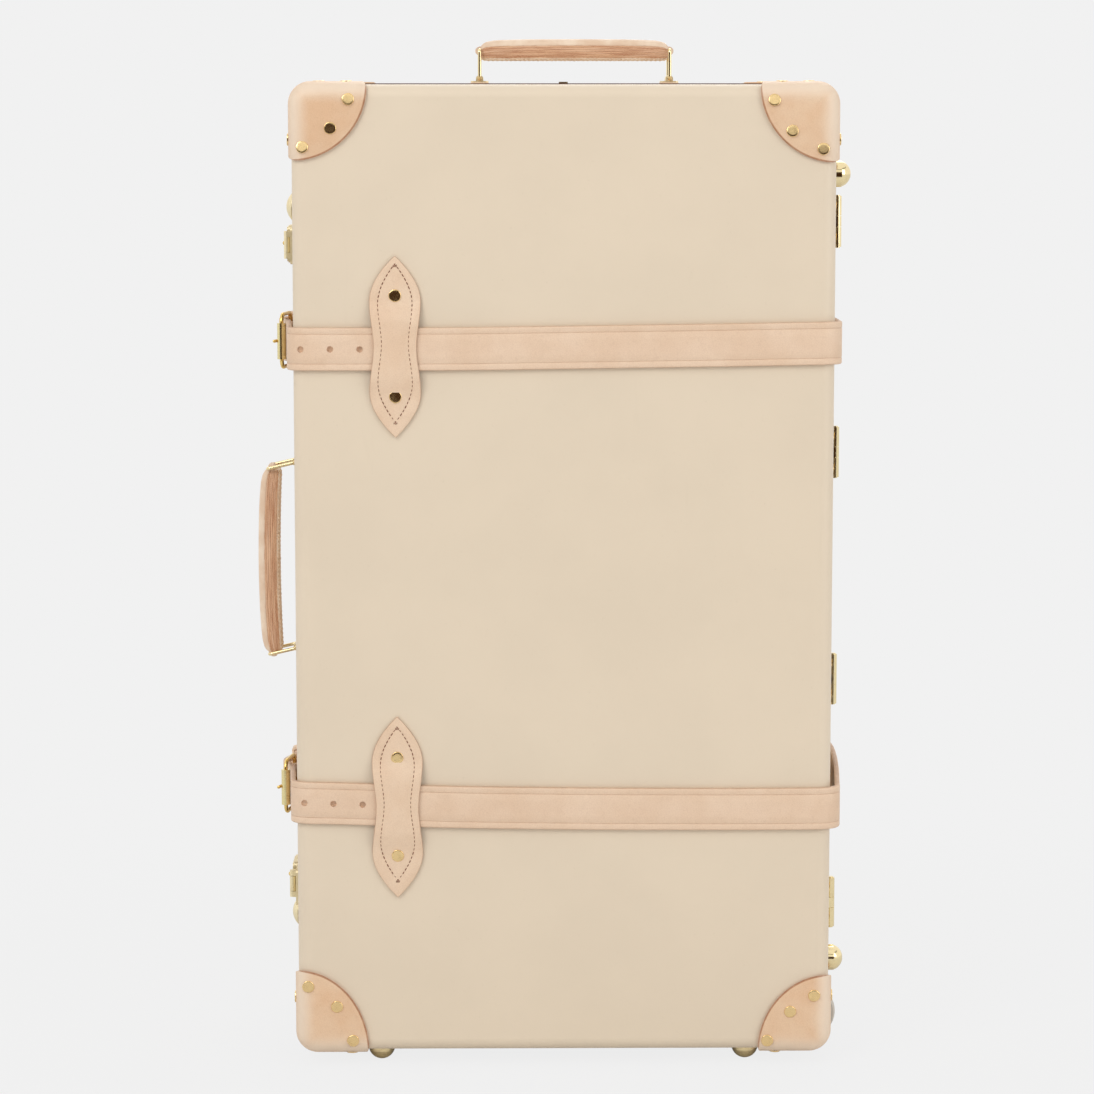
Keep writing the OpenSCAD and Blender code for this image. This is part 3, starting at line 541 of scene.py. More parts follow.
@dataclass(frozen=True)
class Metal(Finish):
    """Plain turned steel."""

    rough: float = 0.32

    def build(self) -> Material:
        """Makes the metal with rings of the lathe.

        Returns:
            The finished material.
        """
        graph = Graph(self.name)
        place = graph.place()
        turned = graph.streaks(place, (900, 60, 900), 3)
        colour = graph.tint(graph.noise(place, 200, 3), self.colour, shade(self.colour, 0.8))
        return graph.surface({"Base Color": colour, "Metallic": 1.0,
                              "Roughness": self.rough + turned * 0.1,
                              "Normal": graph.relief(turned, 0.00002)})


@dataclass(frozen=True)
class Ash(Finish):
    """Planed ash, with the grain along each bar of the frame."""

    late: Colour = paint(176, 134, 86)
    middle: float = 0.0
    bar: float = 0.0

    def build(self) -> Material:
        """Makes the wood; middle and bar tell the upright bars from the level ones.

        Returns:
            The finished material.
        """
        graph = Graph(self.name)
        place = graph.place()
        level = abs(graph.split(place)[2] - self.middle).rise(self.bar - 0.0005, self.bar + 0.0005)
        upright = graph.streaks(place, (300, 300, 9), 4, 0.6, 0.8)
        across = graph.streaks(place, (9, 300, 300), 4, 0.6, 0.8)
        rings = upright * (1 - level) + across * level
        colour = graph.tint(rings.rise(0.4, 0.66), self.colour, self.late)
        pores = graph.streaks(place, (1400, 1400, 60), 2).rise(0.6, 0.75)
        colour = graph.tint(pores * 0.3, colour, shade(self.late, 0.6))
        return graph.surface({"Base Color": colour, "Roughness": 0.5 + rings * 0.15,
                              "Normal": graph.relief(rings - pores * 0.5, 0.00008)})


@dataclass(frozen=True)
class Cotton(Finish):
    """Plain woven cotton, pasted on board."""

    pitch: float = 0.0009
    shadow: Colour = paint(170, 152, 122)

    def build(self) -> Material:
        """Makes the weave from waves along the three axes.

        Returns:
            The finished material.
        """
        graph = Graph(self.name)
        place = graph.place()
        x, y, z = graph.split(place)
        turn = pi / self.pitch
        weft = (z * turn).sine() * ((x + y) * turn).sine()
        slub = graph.streaks(place, (40, 40, 700), 3)
        colour = graph.tint(abs(weft).rise(0.5, 0.0) * 0.5, self.colour, self.shadow)
        colour = graph.tint(slub.rise(0.55, 0.8) * 0.3, colour, shade(self.colour, 0.85))
        return graph.surface({"Base Color": colour, "Roughness": 0.86 + slub * 0.1,
                              "Normal": graph.relief(weft * 0.5 + slub, 0.0001), "Sheen Weight": 0.15})


@dataclass(frozen=True)
class Rubbed(Finish):
    """A plain material with clouds of dust or wear in a second colour and a fine skin."""

    second: Colour = paint(190, 178, 160)
    cloud: tuple[float, ...] = (160, 4)
    ends: Pair = (0.5, 0.75)
    share: float = 0.35
    rough: float = 0.5
    rougher: float = 0.15
    grain: Mark = (900, 900, 900)
    layers: int = 2
    depth: float = 0.00004

    def build(self) -> Material:
        """Makes the material.

        Returns:
            The finished material.
        """
        graph = Graph(self.name)
        place = graph.place()
        cloud = graph.noise(place, *self.cloud).rise(*self.ends)
        colour = graph.tint(cloud * self.share, self.colour, self.second)
        skin = graph.relief(graph.streaks(place, self.grain, self.layers), self.depth)
        return graph.surface({"Base Color": colour, "Roughness": self.rough + cloud * self.rougher,
                              "Normal": skin})


@dataclass(frozen=True)
class Thread(Finish):
    """Waxed linen thread, twisted."""

    def build(self) -> Material:
        """Makes the thread.

        Returns:
            The finished material.
        """
        graph = Graph(self.name)
        place = graph.place()
        twist = graph.noise(graph.stretch(place, (1500, 1500, 1500), (0.6, 0.6, 0)), 1, 2)
        colour = graph.tint(twist.rise(0.4, 0.7), self.colour, shade(self.colour, 0.7))
        return graph.surface({"Base Color": colour, "Roughness": 0.6 + twist * 0.1,
                              "Normal": graph.relief(twist, 0.0001)})


BOARD = Fibreboard("lacquered_fibreboard", "fibreboard", paint(226, 209, 185))
CORNER_HIDE = Leather("corner_hide", "corner_leather", paint(224, 184, 146), pale=paint(230, 197, 163),
                      burnt=paint(156, 92, 50), rim=58.2 * MM, coat=0.3)
PATCH_HIDE = Leather("patch_hide", "corner_leather", paint(227, 196, 166), pale=paint(233, 206, 178))
STRAP_HIDE = Leather("strap_hide", "strap_leather", paint(225, 194, 165), pale=paint(231, 203, 176),
                     crease=11.5 * MM, half=16.7 * MM)
GRIP_HIDE = GripLeather("grip_hide", "handle_leather", paint(224, 194, 166))
BRIGHT_BRASS = Brass("bright_brass", "brass", paint(236, 218, 172), rough=0.08, clouded=0.14)
RIVET_BRASS = Brass("rivet_brass", "brass", paint(240, 210, 154), rough=0.16, clouded=0.15, dents=0.25)
SATIN_BRASS = Brass("satin_brass", "brass", paint(240, 226, 188), rough=0.42, clouded=0.12)
GOLD_BRASS = Brass("buckle_brass", "aged_brass", paint(230, 198, 124), rough=0.14, clouded=0.2)
PALE_BRASS = Brass("roller_brass", "pale_brass", paint(232, 218, 164), rough=0.16, clouded=0.15)
AXLE_STEEL = Metal("axle_steel", "steel", (0.60, 0.60, 0.60))
LINING_CLOTH = Cotton("lining_cloth", "lining", paint(208, 190, 158))
RIM_BINDING = Rubbed("rim_binding", "binding", paint(92, 66, 58), second=paint(140, 104, 84),
                     cloud=(55, 4, 0.65), ends=(0.56, 0.74), share=0.6, rough=0.42, rougher=0.2,
                     grain=(500, 120, 500), layers=3, depth=0.00008)
TREAD_RUBBER = Rubbed("tread_rubber", "wheel_rubber", paint(206, 198, 186))
HUB_PLASTIC = Rubbed("hub_plastic", "wheel_plastic", paint(128, 118, 108))
LINEN = Thread("linen_thread", "strap_leather", paint(236, 212, 184))
WAXED = Thread("waxed_thread", "strap_leather", paint(112, 50, 10))


# Mesh making


@dataclass
class Station:
    """A place on a route, with its directions across and outwards."""

    point: Vector
    across: Vector
    outward: Vector
    along: float


def show(name: str, data: ID) -> Object:
    """Puts a mesh, a lamp or a camera into the scene.

    Args:
        name: The object's name.
        data: What it shows.

    Returns:
        The object.
    """
    made = bpy.data.objects.new(name, data)
    bpy.context.scene.collection.objects.link(made)
    return made


def write(work: BMesh, name: str) -> Mesh:
    """Writes working geometry into a new mesh.

    Args:
        work: The geometry; it is freed.
        name: The mesh's name.

    Returns:
        The mesh.
    """
    mesh = bpy.data.meshes.new(name)
    work.to_mesh(mesh)
    work.free()
    return mesh


def link(name: str, mesh: Mesh, crisp: float = SHARP) -> Object:
    """Puts a smooth mesh into the scene.

    Args:
        name: The object's name.
        mesh: Its mesh.
        crisp: Angle in degrees above which an edge stays sharp.

    Returns:
        The object.
    """
    mesh.shade_smooth()
    mesh.set_sharp_from_angle(angle=radians(crisp))
    return show(name, mesh)


def write_attributes(mesh: Mesh, places: Sequence[Sequence[float]],
                     wear: Sequence[float]) -> None:
    """Stores each point's own coordinates and wear.

    Args:
        mesh: The mesh.
        places: Coordinates along, across and in depth.
        wear: Darkening from 0 to 1: real rubbing on some pieces, painted shade round the strap holes.
    """
    mesh.attributes.new(PLACE, "FLOAT_VECTOR", "POINT")
    mesh.attributes.new(WEAR_AND_SHADE, "FLOAT", "POINT")
    mesh.attributes[PLACE].data.foreach_set("vector", [part for place in places for part in place])
    mesh.attributes[WEAR_AND_SHADE].data.foreach_set("value", list(wear))


def turn_outwards(mesh: Mesh) -> None:
    """Makes all faces of a closed mesh point outwards.

    Args:
        mesh: The mesh.
    """
    work = bmesh.new()
    work.from_mesh(mesh)
    if work.calc_volume(signed=True) < 0:
        bmesh.ops.reverse_faces(work, faces=work.faces)
    work.to_mesh(mesh)
    work.free()


def skin(name: str, points: list[Vector], count: int, places: Sequence[Sequence[float]],
         wear: Sequence[float], crisp: float) -> Object:
    """Joins rings of points into a closed piece with a cap at both ends.

    Args:
        name: The piece's name.
        points: The rings' points, one ring after the other.
        count: Number of points in a ring.
        places: Each point's own coordinates.
        wear: Each point's darkening: real rubbing on some pieces, painted shade round the strap holes.
        crisp: Angle in degrees above which an edge stays sharp.

    Returns:
        The piece.
    """
    faces: list[tuple[int, ...]] = []
    for first in range(0, len(points) - count, count):
        for k in range(count):
            a, b = first + k, first + (k + 1) % count
            faces.append((a, b, b + count, a + count))
    faces.append(tuple(reversed(range(count))))
    faces.append(tuple(range(len(points) - count, len(points))))
    mesh = bpy.data.meshes.new(name)
    mesh.from_pydata(points, [], faces)
    write_attributes(mesh, places, wear)
    turn_outwards(mesh)
    return link(name, mesh, crisp)


def unworn(along: float, across: float) -> float:
    """No wear anywhere."""
    return 0.0


def sweep(name: str, stations: list[Station], section: Callable[[Station], Outline],
          wear: Callable[[float, float], float] = unworn) -> Object:
    """Carries a closed section along a route and caps both ends.

    Args:
        name: The piece's name.
        stations: The route.
        section: Outline at a station, as across and outward distances.
        wear: Darkening at a distance along and across: real rubbing on some pieces, painted shade round
            the strap holes.

    Returns:
        The piece.
    """
    points: list[Vector] = []
    places: list[Mark] = []
    wear_and_shade_values: list[float] = []
    count = len(section(stations[0]))
    for station in stations:
        for across, height in section(station):
            points.append(station.point + station.across * across + station.outward * height)
            places.append((station.along, across, height))
            wear_and_shade_values.append(wear(station.along, across))
    return skin(name, points, count, places, wear_and_shade_values, SHARP)


def prism(outline: Outline, low: float, high: float) -> BMesh:
    """Working geometry of a straight solid.

    Args:
        outline: Its outline.
        low: Height of its lower face.
        high: Height of its upper face.

    Returns:
        The geometry.
    """
    work = bmesh.new()
    under = [work.verts.new((x, y, low)) for x, y in outline]
    over = [work.verts.new((x, y, high)) for x, y in outline]
    work.faces.new(list(reversed(under)))
    work.faces.new(over)
    for k in range(len(outline)):
        m = (k + 1) % len(outline)
        work.faces.new((under[k], under[m], over[m], over[k]))
    return work


def slab(name: str, outline: Outline, thickness: float, matrix: Matrix,
         round_edge: float) -> Object:
    """A flat piece of any outline with rounded edges.

    Args:
        name: The piece's name.
        outline: Its outline, in the piece's own plane.
        thickness: Its thickness, along its own Z.
        matrix: Places the piece in the frame.
        round_edge: Radius of its edges.

    Returns:
        The piece.
    """
    work = prism(outline, 0, thickness)
    bmesh.ops.recalc_face_normals(work, faces=work.faces)
    rims = [edge for edge in work.edges
            if abs(edge.verts[0].co.z - edge.verts[1].co.z) < 1e-9]
    bmesh.ops.bevel(work, geom=rims, offset=round_edge, segments=3, profile=0.5, affect="EDGES",
                    clamp_overlap=True)
    mesh = write(work, name)
    places = [(v.co.x, v.co.y, v.co.z) for v in mesh.vertices]
    write_attributes(mesh, places, [0.0] * len(places))
    mesh.transform(matrix)
    turn_outwards(mesh)
    return link(name, mesh, 35)


def settle(piece: Object) -> Object:
    """Turns a piece with its modifiers into a plain mesh.

    Args:
        piece: The piece.

    Returns:
        The same piece, without modifiers.
    """
    bpy.context.view_layer.update()
    graph = bpy.context.evaluated_depsgraph_get()
    grown = bpy.data.meshes.new_from_object(piece.evaluated_get(graph))
    piece.modifiers.clear()
    old = piece.data
    piece.data = grown
    bpy.data.meshes.remove(old)
    return piece


def join(name: str, pieces: list[Object]) -> Object:
    """Joins pieces of one body and one finish into one object.

    Args:
        name: Name of the whole.
        pieces: The pieces.

    Returns:
        The joined piece.
    """
    work = bmesh.new()
    for piece in pieces:
        work.from_mesh(piece.data)
    mesh = write(work, name)
    for piece in pieces:
        old = piece.data
        bpy.data.objects.remove(piece)
        bpy.data.meshes.remove(old)
    return link(name, mesh)


def pierce(piece: Object, cutters: list[Object]) -> Object:
    """Cuts shapes out of a piece.

    Args:
        piece: The piece that is cut.
        cutters: Closed shapes, removed afterwards.

    Returns:
        The cut piece.
    """
    cutter = join("cutter", cutters)
    step = piece.modifiers.new("cut", "BOOLEAN")
    step.operation = "DIFFERENCE"
    step.solver = "EXACT"
    step.object = cutter
    settle(piece)
    bpy.data.objects.remove(cutter)
    return piece


def peg(radius: float, length: float, matrix: Matrix, slot: float = 0.0) -> Object:
    """A round or stadium-shaped peg along its own Z.

    Args:
        radius: Radius of its ends.
        length: Its length.
        matrix: Places it in the frame.
        slot: Distance between the centres of its two ends, along its own X.

    Returns:
        The peg.
    """
    ring = []
    for k in range(PEG_SIDES):
        angle = 2 * pi * k / PEG_SIDES
        shift = slot / 2 if cos(angle) > 0 else -slot / 2
        ring.append((radius * cos(angle) + shift, radius * sin(angle)))
    mesh = write(prism(ring, -length / 2, length / 2), "peg")
    mesh.transform(matrix)
    return show("peg", mesh)


def frame_of(origin: Vector, across: Vector, along: Vector) -> Matrix:
    """Matrix that places an own origin, X and Y; the own Z is square to both."""
    out = across.cross(along)
    return Matrix.Translation(origin) @ Matrix((across, along, out)).transposed().to_4x4()


def arc(centre: Pair, radius: float, start: float, stop: float, steps: int) -> Outline:
    """Points on an arc, angles in degrees."""
    turns = [radians(mix(start, stop, k / steps)) for k in range(steps + 1)]
    return [(centre[0] + radius * cos(t), centre[1] + radius * sin(t)) for t in turns]


def rounded(width: float, height: float, radius: float) -> Outline:
    """Outline of a rounded rectangle, centred."""
    x, y = width / 2 - radius, height / 2 - radius
    return [point for k, (cx, cy) in enumerate(((x, y), (-x, y), (-x, -y), (x, -y)))
            for point in arc((cx, cy), radius, 90 * k, 90 * k + 90, 6)]


class Body(Enum):
    """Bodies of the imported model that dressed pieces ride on."""

    BASE = "base"
    LID = "lid"
    TOP_GRIP = "top_grip"
    SIDE_GRIP = "side_grip"


@dataclass
class Workshop:
    """Finishes pieces, hands them to their bodies and reports them."""

    made: int = 0

    def fit(self, piece: Object, finish: Finish, body: Body,
            stands_for: Iterable[str] = ()) -> None:
        """Dresses a piece and lets it ride.

        Args:
            piece: The finished piece.
            finish: Its finish.
            body: The body that it moves with.
            stands_for: CAD nodes that it replaces.
        """
        self.dress(piece, finish)
        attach(piece, body.value)
        self.note(piece, finish, stands_for)

    def bend(self, piece: Object, finish: Finish, start: Vector, end: Vector) -> None:
        """Dresses a piece that lies between base and lid, bakes its place into its mesh and reports it.

        Args:
            piece: The finished piece.
            finish: Its finish.
            start: Where it stops following the base; not used.
            end: Where it follows the lid; not used.
        """
        self.dress(piece, finish)
        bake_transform(piece)
        self.note(piece, finish, ())

    def note(self, piece: Object, finish: Finish, stands_for: Iterable[str]) -> None:
        """Hides the CAD nodes that a piece replaces, counts the piece and reports it.

        Args:
            piece: The piece.
            finish: Its finish.
            stands_for: CAD nodes that it replaces.
        """
        nodes = list(stands_for)
        if nodes:
            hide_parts(*nodes)
        self.made += 1
        LOG.info("%s: %d points, %s", piece.name, len(piece.data.vertices), finish.name)

    @staticmethod
    def dress(piece: Object, finish: Finish) -> None:
        """Gives every slot of a piece one finish.

        Args:
            piece: The piece.
            finish: Its finish.
        """
        material = finish.material()
        if not piece.data.materials:
            piece.data.materials.append(material)
        for place in piece.material_slots:
            place.material = material


# The case


class Case:
    """Main places of the case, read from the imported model."""

    def __init__(self) -> None:
        """Reads the places from the shells' boxes."""
        lid_low, lid_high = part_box("lid_shell")
        base_low, base_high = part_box("base_shell")
        self.half = (lid_high.x - lid_low.x) / 2
        self.middle_x = (lid_high.x + lid_low.x) / 2
        self.front = lid_low.y
        self.seam = (lid_high.y + base_low.y) / 2
        self.back = base_high.y
        self.bottom = lid_low.z
        self.top = lid_high.z
        self.middle_z = (self.bottom + self.top) / 2


    def inset(self, at: Vector) -> Pair:
        """How far a place lies in from the nearest side and from the top or bottom."""
        return (self.half - abs(at.x - self.middle_x),
                (self.top - self.bottom) / 2 - abs(at.z - self.middle_z))

    def corner(self, at: Vector) -> Corner:
        """The corner that a place is nearest to, as the signs of its X and Z."""
        return 1 if at.x > self.middle_x else -1, 1 if at.z > self.middle_z else -1


CASE = Case()


def islands(node: str) -> list[tuple[Vector, Vector]]:
    """Boxes of the separate solids of a CAD node.

    Args:
        node: The node's name.

    Returns:
        Lowest and highest corner of each solid.
    """
    work = bmesh.new()
    work.from_mesh(NODES[node].data)
    bmesh.ops.remove_doubles(work, verts=work.verts, dist=1e-6)
    left = set(work.verts)
    found: list[tuple[Vector, Vector]] = []
    while left:
        front = [left.pop()]
        solid = list(front)
        while front:
            vert = front.pop()
            fresh = [v for v in (e.other_vert(vert) for e in vert.link_edges) if v in left]
            left.difference_update(fresh)
            front.extend(fresh)
            solid.extend(fresh)
        low = Vector([min(v.co[k] for v in solid) for k in range(3)])
        high = Vector([max(v.co[k] for v in solid) for k in range(3)])
        found.append((low, high))
    work.free()
    return sorted(found, key=lambda pair: tuple(round(part, 5) for part in pair[0] + pair[1]))


# Repeats made by Geometry Nodes


class Tree(Nodes):
    """A Geometry Nodes tree with named inputs that sets copies of an object."""

    def __init__(self, name: str, inputs: dict[str, str]) -> None:
        """Starts the tree with the inputs Head, Finish and Seed and its own ones.

        Args:
            name: The tree's name.
            inputs: Socket type of each of its own inputs.
        """
        super().__init__(bpy.data.node_groups.new(name, "GeometryNodeTree"))
        sockets = {"Geometry": "NodeSocketGeometry", "Head": "NodeSocketObject",
                   "Finish": "NodeSocketMaterial", "Seed": "NodeSocketInt", **inputs}
        for key, kind in sockets.items():
            self.tree.interface.new_socket(key, in_out="INPUT", socket_type=kind)
        self.tree.interface.new_socket("Geometry", in_out="OUTPUT", socket_type="NodeSocketGeometry")
        self.source = self.tree.nodes.new("NodeGroupInput").outputs

    def end(self, values: dict) -> None:
        """Sets the copies, realizes them, gives them their material and closes the tree.

        Args:
            values: Points, turns and sizes of the copies.
        """
        head = self.node("GeometryNodeObjectInfo", {"Object": self.source["Head"]})
        placed = self.node("GeometryNodeInstanceOnPoints",
                           {"Instance": head.outputs["Geometry"], **values})
        real = self.node("GeometryNodeRealizeInstances", {0: placed.outputs[0]})
        dressed = self.node("GeometryNodeSetMaterial", {"Geometry": real.outputs[0],
                                                        "Material": self.source["Finish"]})
        self.node("NodeGroupOutput", {0: dressed.outputs[0]})

    def grow(self, piece: Object, values: dict) -> Object:
        """Runs the tree on a piece and keeps the result as a plain mesh.

        Args:
            piece: Points or lines that the tree works on.
            values: The named inputs.

        Returns:
            The grown piece.
        """
        step = piece.modifiers.new(self.tree.name, "NODES")
        step.node_group = self.tree
        for item in self.tree.interface.items_tree:
            if item.in_out == "INPUT" and item.name in values:
                step[item.identifier] = values[item.name]
        settle(piece)
        piece.data.shade_smooth()
        piece.data.set_sharp_from_angle(angle=radians(45))
        return piece


def build_rivet_tree() -> Tree:
    """Tree that sets a head on every point, square to its wall and turned at random.

    Returns:
        The tree.
    """
    tree = Tree("rivets", {"Tilt": "NodeSocketFloat"})
    tilt = tree.source["Tilt"]
    aim = tree.node("GeometryNodeInputNamedAttribute", {"Name": AIM}, data_type="FLOAT_VECTOR")
    minus = tree.node("ShaderNodeMath", {0: tilt, 1: -1.0}, operation="MULTIPLY").outputs[0]
    low = tree.node("ShaderNodeCombineXYZ", {0: minus, 1: minus, 2: -pi})
    high = tree.node("ShaderNodeCombineXYZ", {0: tilt, 1: tilt, 2: pi})
    turn = tree.node("FunctionNodeRandomValue", {0: low.outputs[0], 1: high.outputs[0],
                                                 "Seed": tree.source["Seed"]}, data_type="FLOAT_VECTOR")
    straight = tree.node("FunctionNodeAlignRotationToVector", {"Vector": aim.outputs[0]}, axis="Z")
    spin = tree.node("FunctionNodeEulerToRotation", {0: turn.outputs[0]})
    both = tree.node("FunctionNodeRotateRotation", {0: straight.outputs[0], 1: spin.outputs[0]},
                     rotation_space="LOCAL")
    tree.end({"Points": tree.source["Geometry"], "Rotation": both.outputs[0]})
    return tree


def build_stitch_tree() -> Tree:
    """Tree that lays a stitch along every pitch of a line, each a little off true.

    Returns:
        The tree.
    """
    tree = Tree("stitches", {"Pitch": "NodeSocketFloat"})
    line = tree.node("GeometryNodeMeshToCurve", {0: tree.source["Geometry"]})
    spots = tree.node("GeometryNodeCurveToPoints",
                      {"Curve": line.outputs[0], "Length": tree.source["Pitch"]}, mode="LENGTH")
    straight = tree.node("FunctionNodeAlignRotationToVector", {"Vector": spots.outputs["Tangent"]},
                         axis="X")
    size = tree.node("FunctionNodeRandomValue",
                     {2: STITCH_SIZES[0], 3: STITCH_SIZES[1], "Seed": tree.source["Seed"]},
                     data_type="FLOAT")
    tree.end({"Points": spots.outputs["Points"], "Rotation": straight.outputs[0],
              "Scale": size.outputs[1]})
    return tree


@dataclass
class Repeats:
    """Rivets and stitches, grown from points and lines."""

    stitch_len: float = 2.5 * MM
    stitch_thick: float = 0.74 * MM
    pitch: float = 3.5 * MM
    tilt: float = 0.035
    head_sides: int = 28
    head_profile: Row = ((0, 1), (0.60, 0.998), (0.87, 0.985), (0.95, 0.90), (0.99, 0.62),
                                      (1, 0.1), (0.97, -0.4), (0, -0.4))

    def __post_init__(self) -> None:
        """Builds both trees and the stitch."""
        self.rivet_tree = build_rivet_tree()
        self.stitch_tree = build_stitch_tree()
        self.thread = self.stitch()

    def stitch(self) -> Object:
        """One stitch: a plump thread that sinks into the leather at both ends.

        Returns:
            The stitch.
        """
        work = bmesh.new()
        bmesh.ops.create_uvsphere(work, u_segments=8, v_segments=6, radius=0.5)
        for v in work.verts:
            v.co = Vector((v.co.z * self.stitch_len, v.co.x * self.stitch_thick,
                           v.co.y * self.stitch_thick))
        bmesh.ops.recalc_face_normals(work, faces=work.faces)
        return show("stitch", write(work, "stitch"))

    def head(self, radius: float, height: float) -> Object:
        """Lathe-turned flat rivet head, its rim a little uneven from the hammer.

        Args:
            radius: Radius of the rim.
            height: Height above the leather.

        Returns:
            The head, standing on z = 0.
        """
        profile = [(radius * out, height * up) for out, up in self.head_profile]
        made = lathe("rivet_head", profile, self.head_sides)
        for v in made.data.vertices:
            turn = atan2(v.co.y, v.co.x)
            uneven = 1 + 0.018 * sin(3 * turn + 0.7) + 0.014 * sin(7 * turn)
            v.co = Vector((v.co.x * uneven, v.co.y * uneven, v.co.z))
        return made

    def rivets(self, name: str, node: str, radius: float, seed: int,
               shift: Callable[[Vector], tuple[Vector, float]]) -> Object:
        """Heads in place of the rivets of a CAD node.

        Args:
            name: The piece's name.
            node: The CAD node.
            radius: Radius of a head.
            seed: Seed of the random turns.
            shift: The way from a rivet's CAD place and how far it leans upwards.

        Returns:
            The rivets as one piece.
        """
        spots, aims = [], []
        height = 0.0
        heart = Vector((CASE.middle_x, (CASE.front + CASE.back) / 2, CASE.middle_z))
        for low, high in islands(node):
            size = high - low
            axis = min(range(3), key=lambda k: size[k])
            centre = (low + high) / 2
            aim = Vector((0, 0, 0))
            aim[axis] = 1.0 if centre[axis] > heart[axis] else -1.0
            height = size[axis]
            way, lean = shift(centre)
            spots.append(centre - aim * height / 2 + way)
            aims.append(aim + Vector((0, 0, lean)))
        head = self.head(radius, height)
        mesh = bpy.data.meshes.new(name)
        mesh.from_pydata(spots, [], [])
        mesh.attributes.new(AIM, "FLOAT_VECTOR", "POINT")
        mesh.attributes[AIM].data.foreach_set("vector", [part for aim in aims for part in aim])
        piece = show(name, mesh)
        self.rivet_tree.grow(piece, {"Head": head, "Finish": RIVET_BRASS.material(),
                                     "Seed": seed, "Tilt": self.tilt})
        bpy.data.objects.remove(head)
        return piece

    def stitches(self, name: str, lines: list[list[Vector]], seed: int,
                 finish: Thread = LINEN) -> Object:
        """Stitches along lines.

        Args:
            name: The piece's name.
            lines: Points of each line.
            seed: Seed of the random sizes.
            finish: The thread's finish.

        Returns:
            The stitches as one piece.
        """
        points: list[Vector] = []
        edges: list[tuple[int, int]] = []
        for line in lines:
            first = len(points)
            points.extend(line)
            edges.extend((first + k, first + k + 1) for k in range(len(line) - 1))
        mesh = bpy.data.meshes.new(name)
        mesh.from_pydata(points, edges, [])
        return self.stitch_tree.grow(show(name, mesh), {"Head": self.thread, "Seed": seed,
                                                        "Finish": finish.material(),
                                                        "Pitch": self.pitch})


def lathe(name: str, profile: Outline, steps: int) -> Object:
    """Turns a profile about its own Z.

    Args:
        name: The piece's name.
        profile: Radius and height from the top's middle round to the bottom's middle.
        steps: Number of faces round.

    Returns:
        The turned piece.
    """
    work = bmesh.new()
    turns = [2 * pi * k / steps for k in range(steps)]
    rings = [[work.verts.new((radius * cos(turn), radius * sin(turn), height))
              for turn in (turns if radius > 0 else [0.0])] for radius, height in profile]
    for upper, lower in zip(rings, rings[1:]):
        for k in range(steps):
            m = (k + 1) % steps
            ring = [upper[k % len(upper)], lower[k % len(lower)],
                    lower[m % len(lower)], upper[m % len(upper)]]
            work.faces.new(list(dict.fromkeys(ring)))
    bmesh.ops.recalc_face_normals(work, faces=work.faces)
    return link(name, write(work, name))


# Leather corners


@dataclass
class LeatherCorners:
    """Moulded leather over the eight corners of the case."""

    edge: float = 0.45 * MM
    flat_angle: float = 0.5
    rim_angle: float = 50.0
    firm: float = 20 * MM
    give: float = 30 * MM
    pulls: dict[Corner, Pair] = field(default_factory=lambda: {
        (-1, 1): (0.98, 0.975), (1, 1): (1.0, 1.0), (-1, -1): (0.935, 1.11), (1, -1): (0.945, 1.035)})

    def build(self, shop: Workshop) -> None:
        """Softens the lid's and the base's corners and pulls each as it was pulled by hand.

        Args:
            shop: Finishes and places the pieces.
        """
        for node, body in (("lid_leather_corners", Body.LID), ("base_leather_corners", Body.BASE)):
            shop.fit(self.soften(node), CORNER_HIDE, body, [node])

    def pull(self, at: Vector) -> Vector:
        """Where the leather at a place ends up once its corner is pulled.

        Args:
            at: The place on the drawn leather.

        Returns:
            The new place.
        """
        side = CASE.corner(at)
        wide, tall = self.pulls[side]
        dx, dz = CASE.inset(at)
        dx, dz = max(dx, 0), max(dz, 0)
        grow = ease((hypot(dx, dz) - self.firm) / self.give)
        return Vector((at.x - side[0] * dx * (wide - 1) * grow, at.y,
                       at.z - side[1] * dz * (tall - 1) * grow))

    def soften(self, node: str) -> Object:
        """Rounds the cut edges of a copy of the node.

        Args:
            node: The CAD node.

        Returns:
            The soft piece.
        """
        name = node.replace("leather", "moulded")
        work = bmesh.new()
        work.from_mesh(NODES[node].data)
        bmesh.ops.remove_doubles(work, verts=work.verts, dist=1e-6)
        bmesh.ops.dissolve_limit(work, angle_limit=radians(self.flat_angle),
                                  verts=work.verts, edges=work.edges)
        rims = [edge for edge in work.edges
                if len(edge.link_faces) == 2 and edge.calc_face_angle() > radians(self.rim_angle)]
        bmesh.ops.bevel(work, geom=rims, offset=self.edge, segments=2, profile=0.5, affect="EDGES",
                        clamp_overlap=True)
        bmesh.ops.triangulate(work, faces=work.faces)
        mesh = write(work, name)
        places = []
        for v in mesh.vertices:
            dx, dz = CASE.inset(v.co)
            dy = min(v.co.y - CASE.front, CASE.back - v.co.y)
            places.append((dx, dy, dz))
            v.co = self.pull(v.co)
        write_attributes(mesh, places, [0.0] * len(places))
        return link(name, mesh, 35)


# Straps


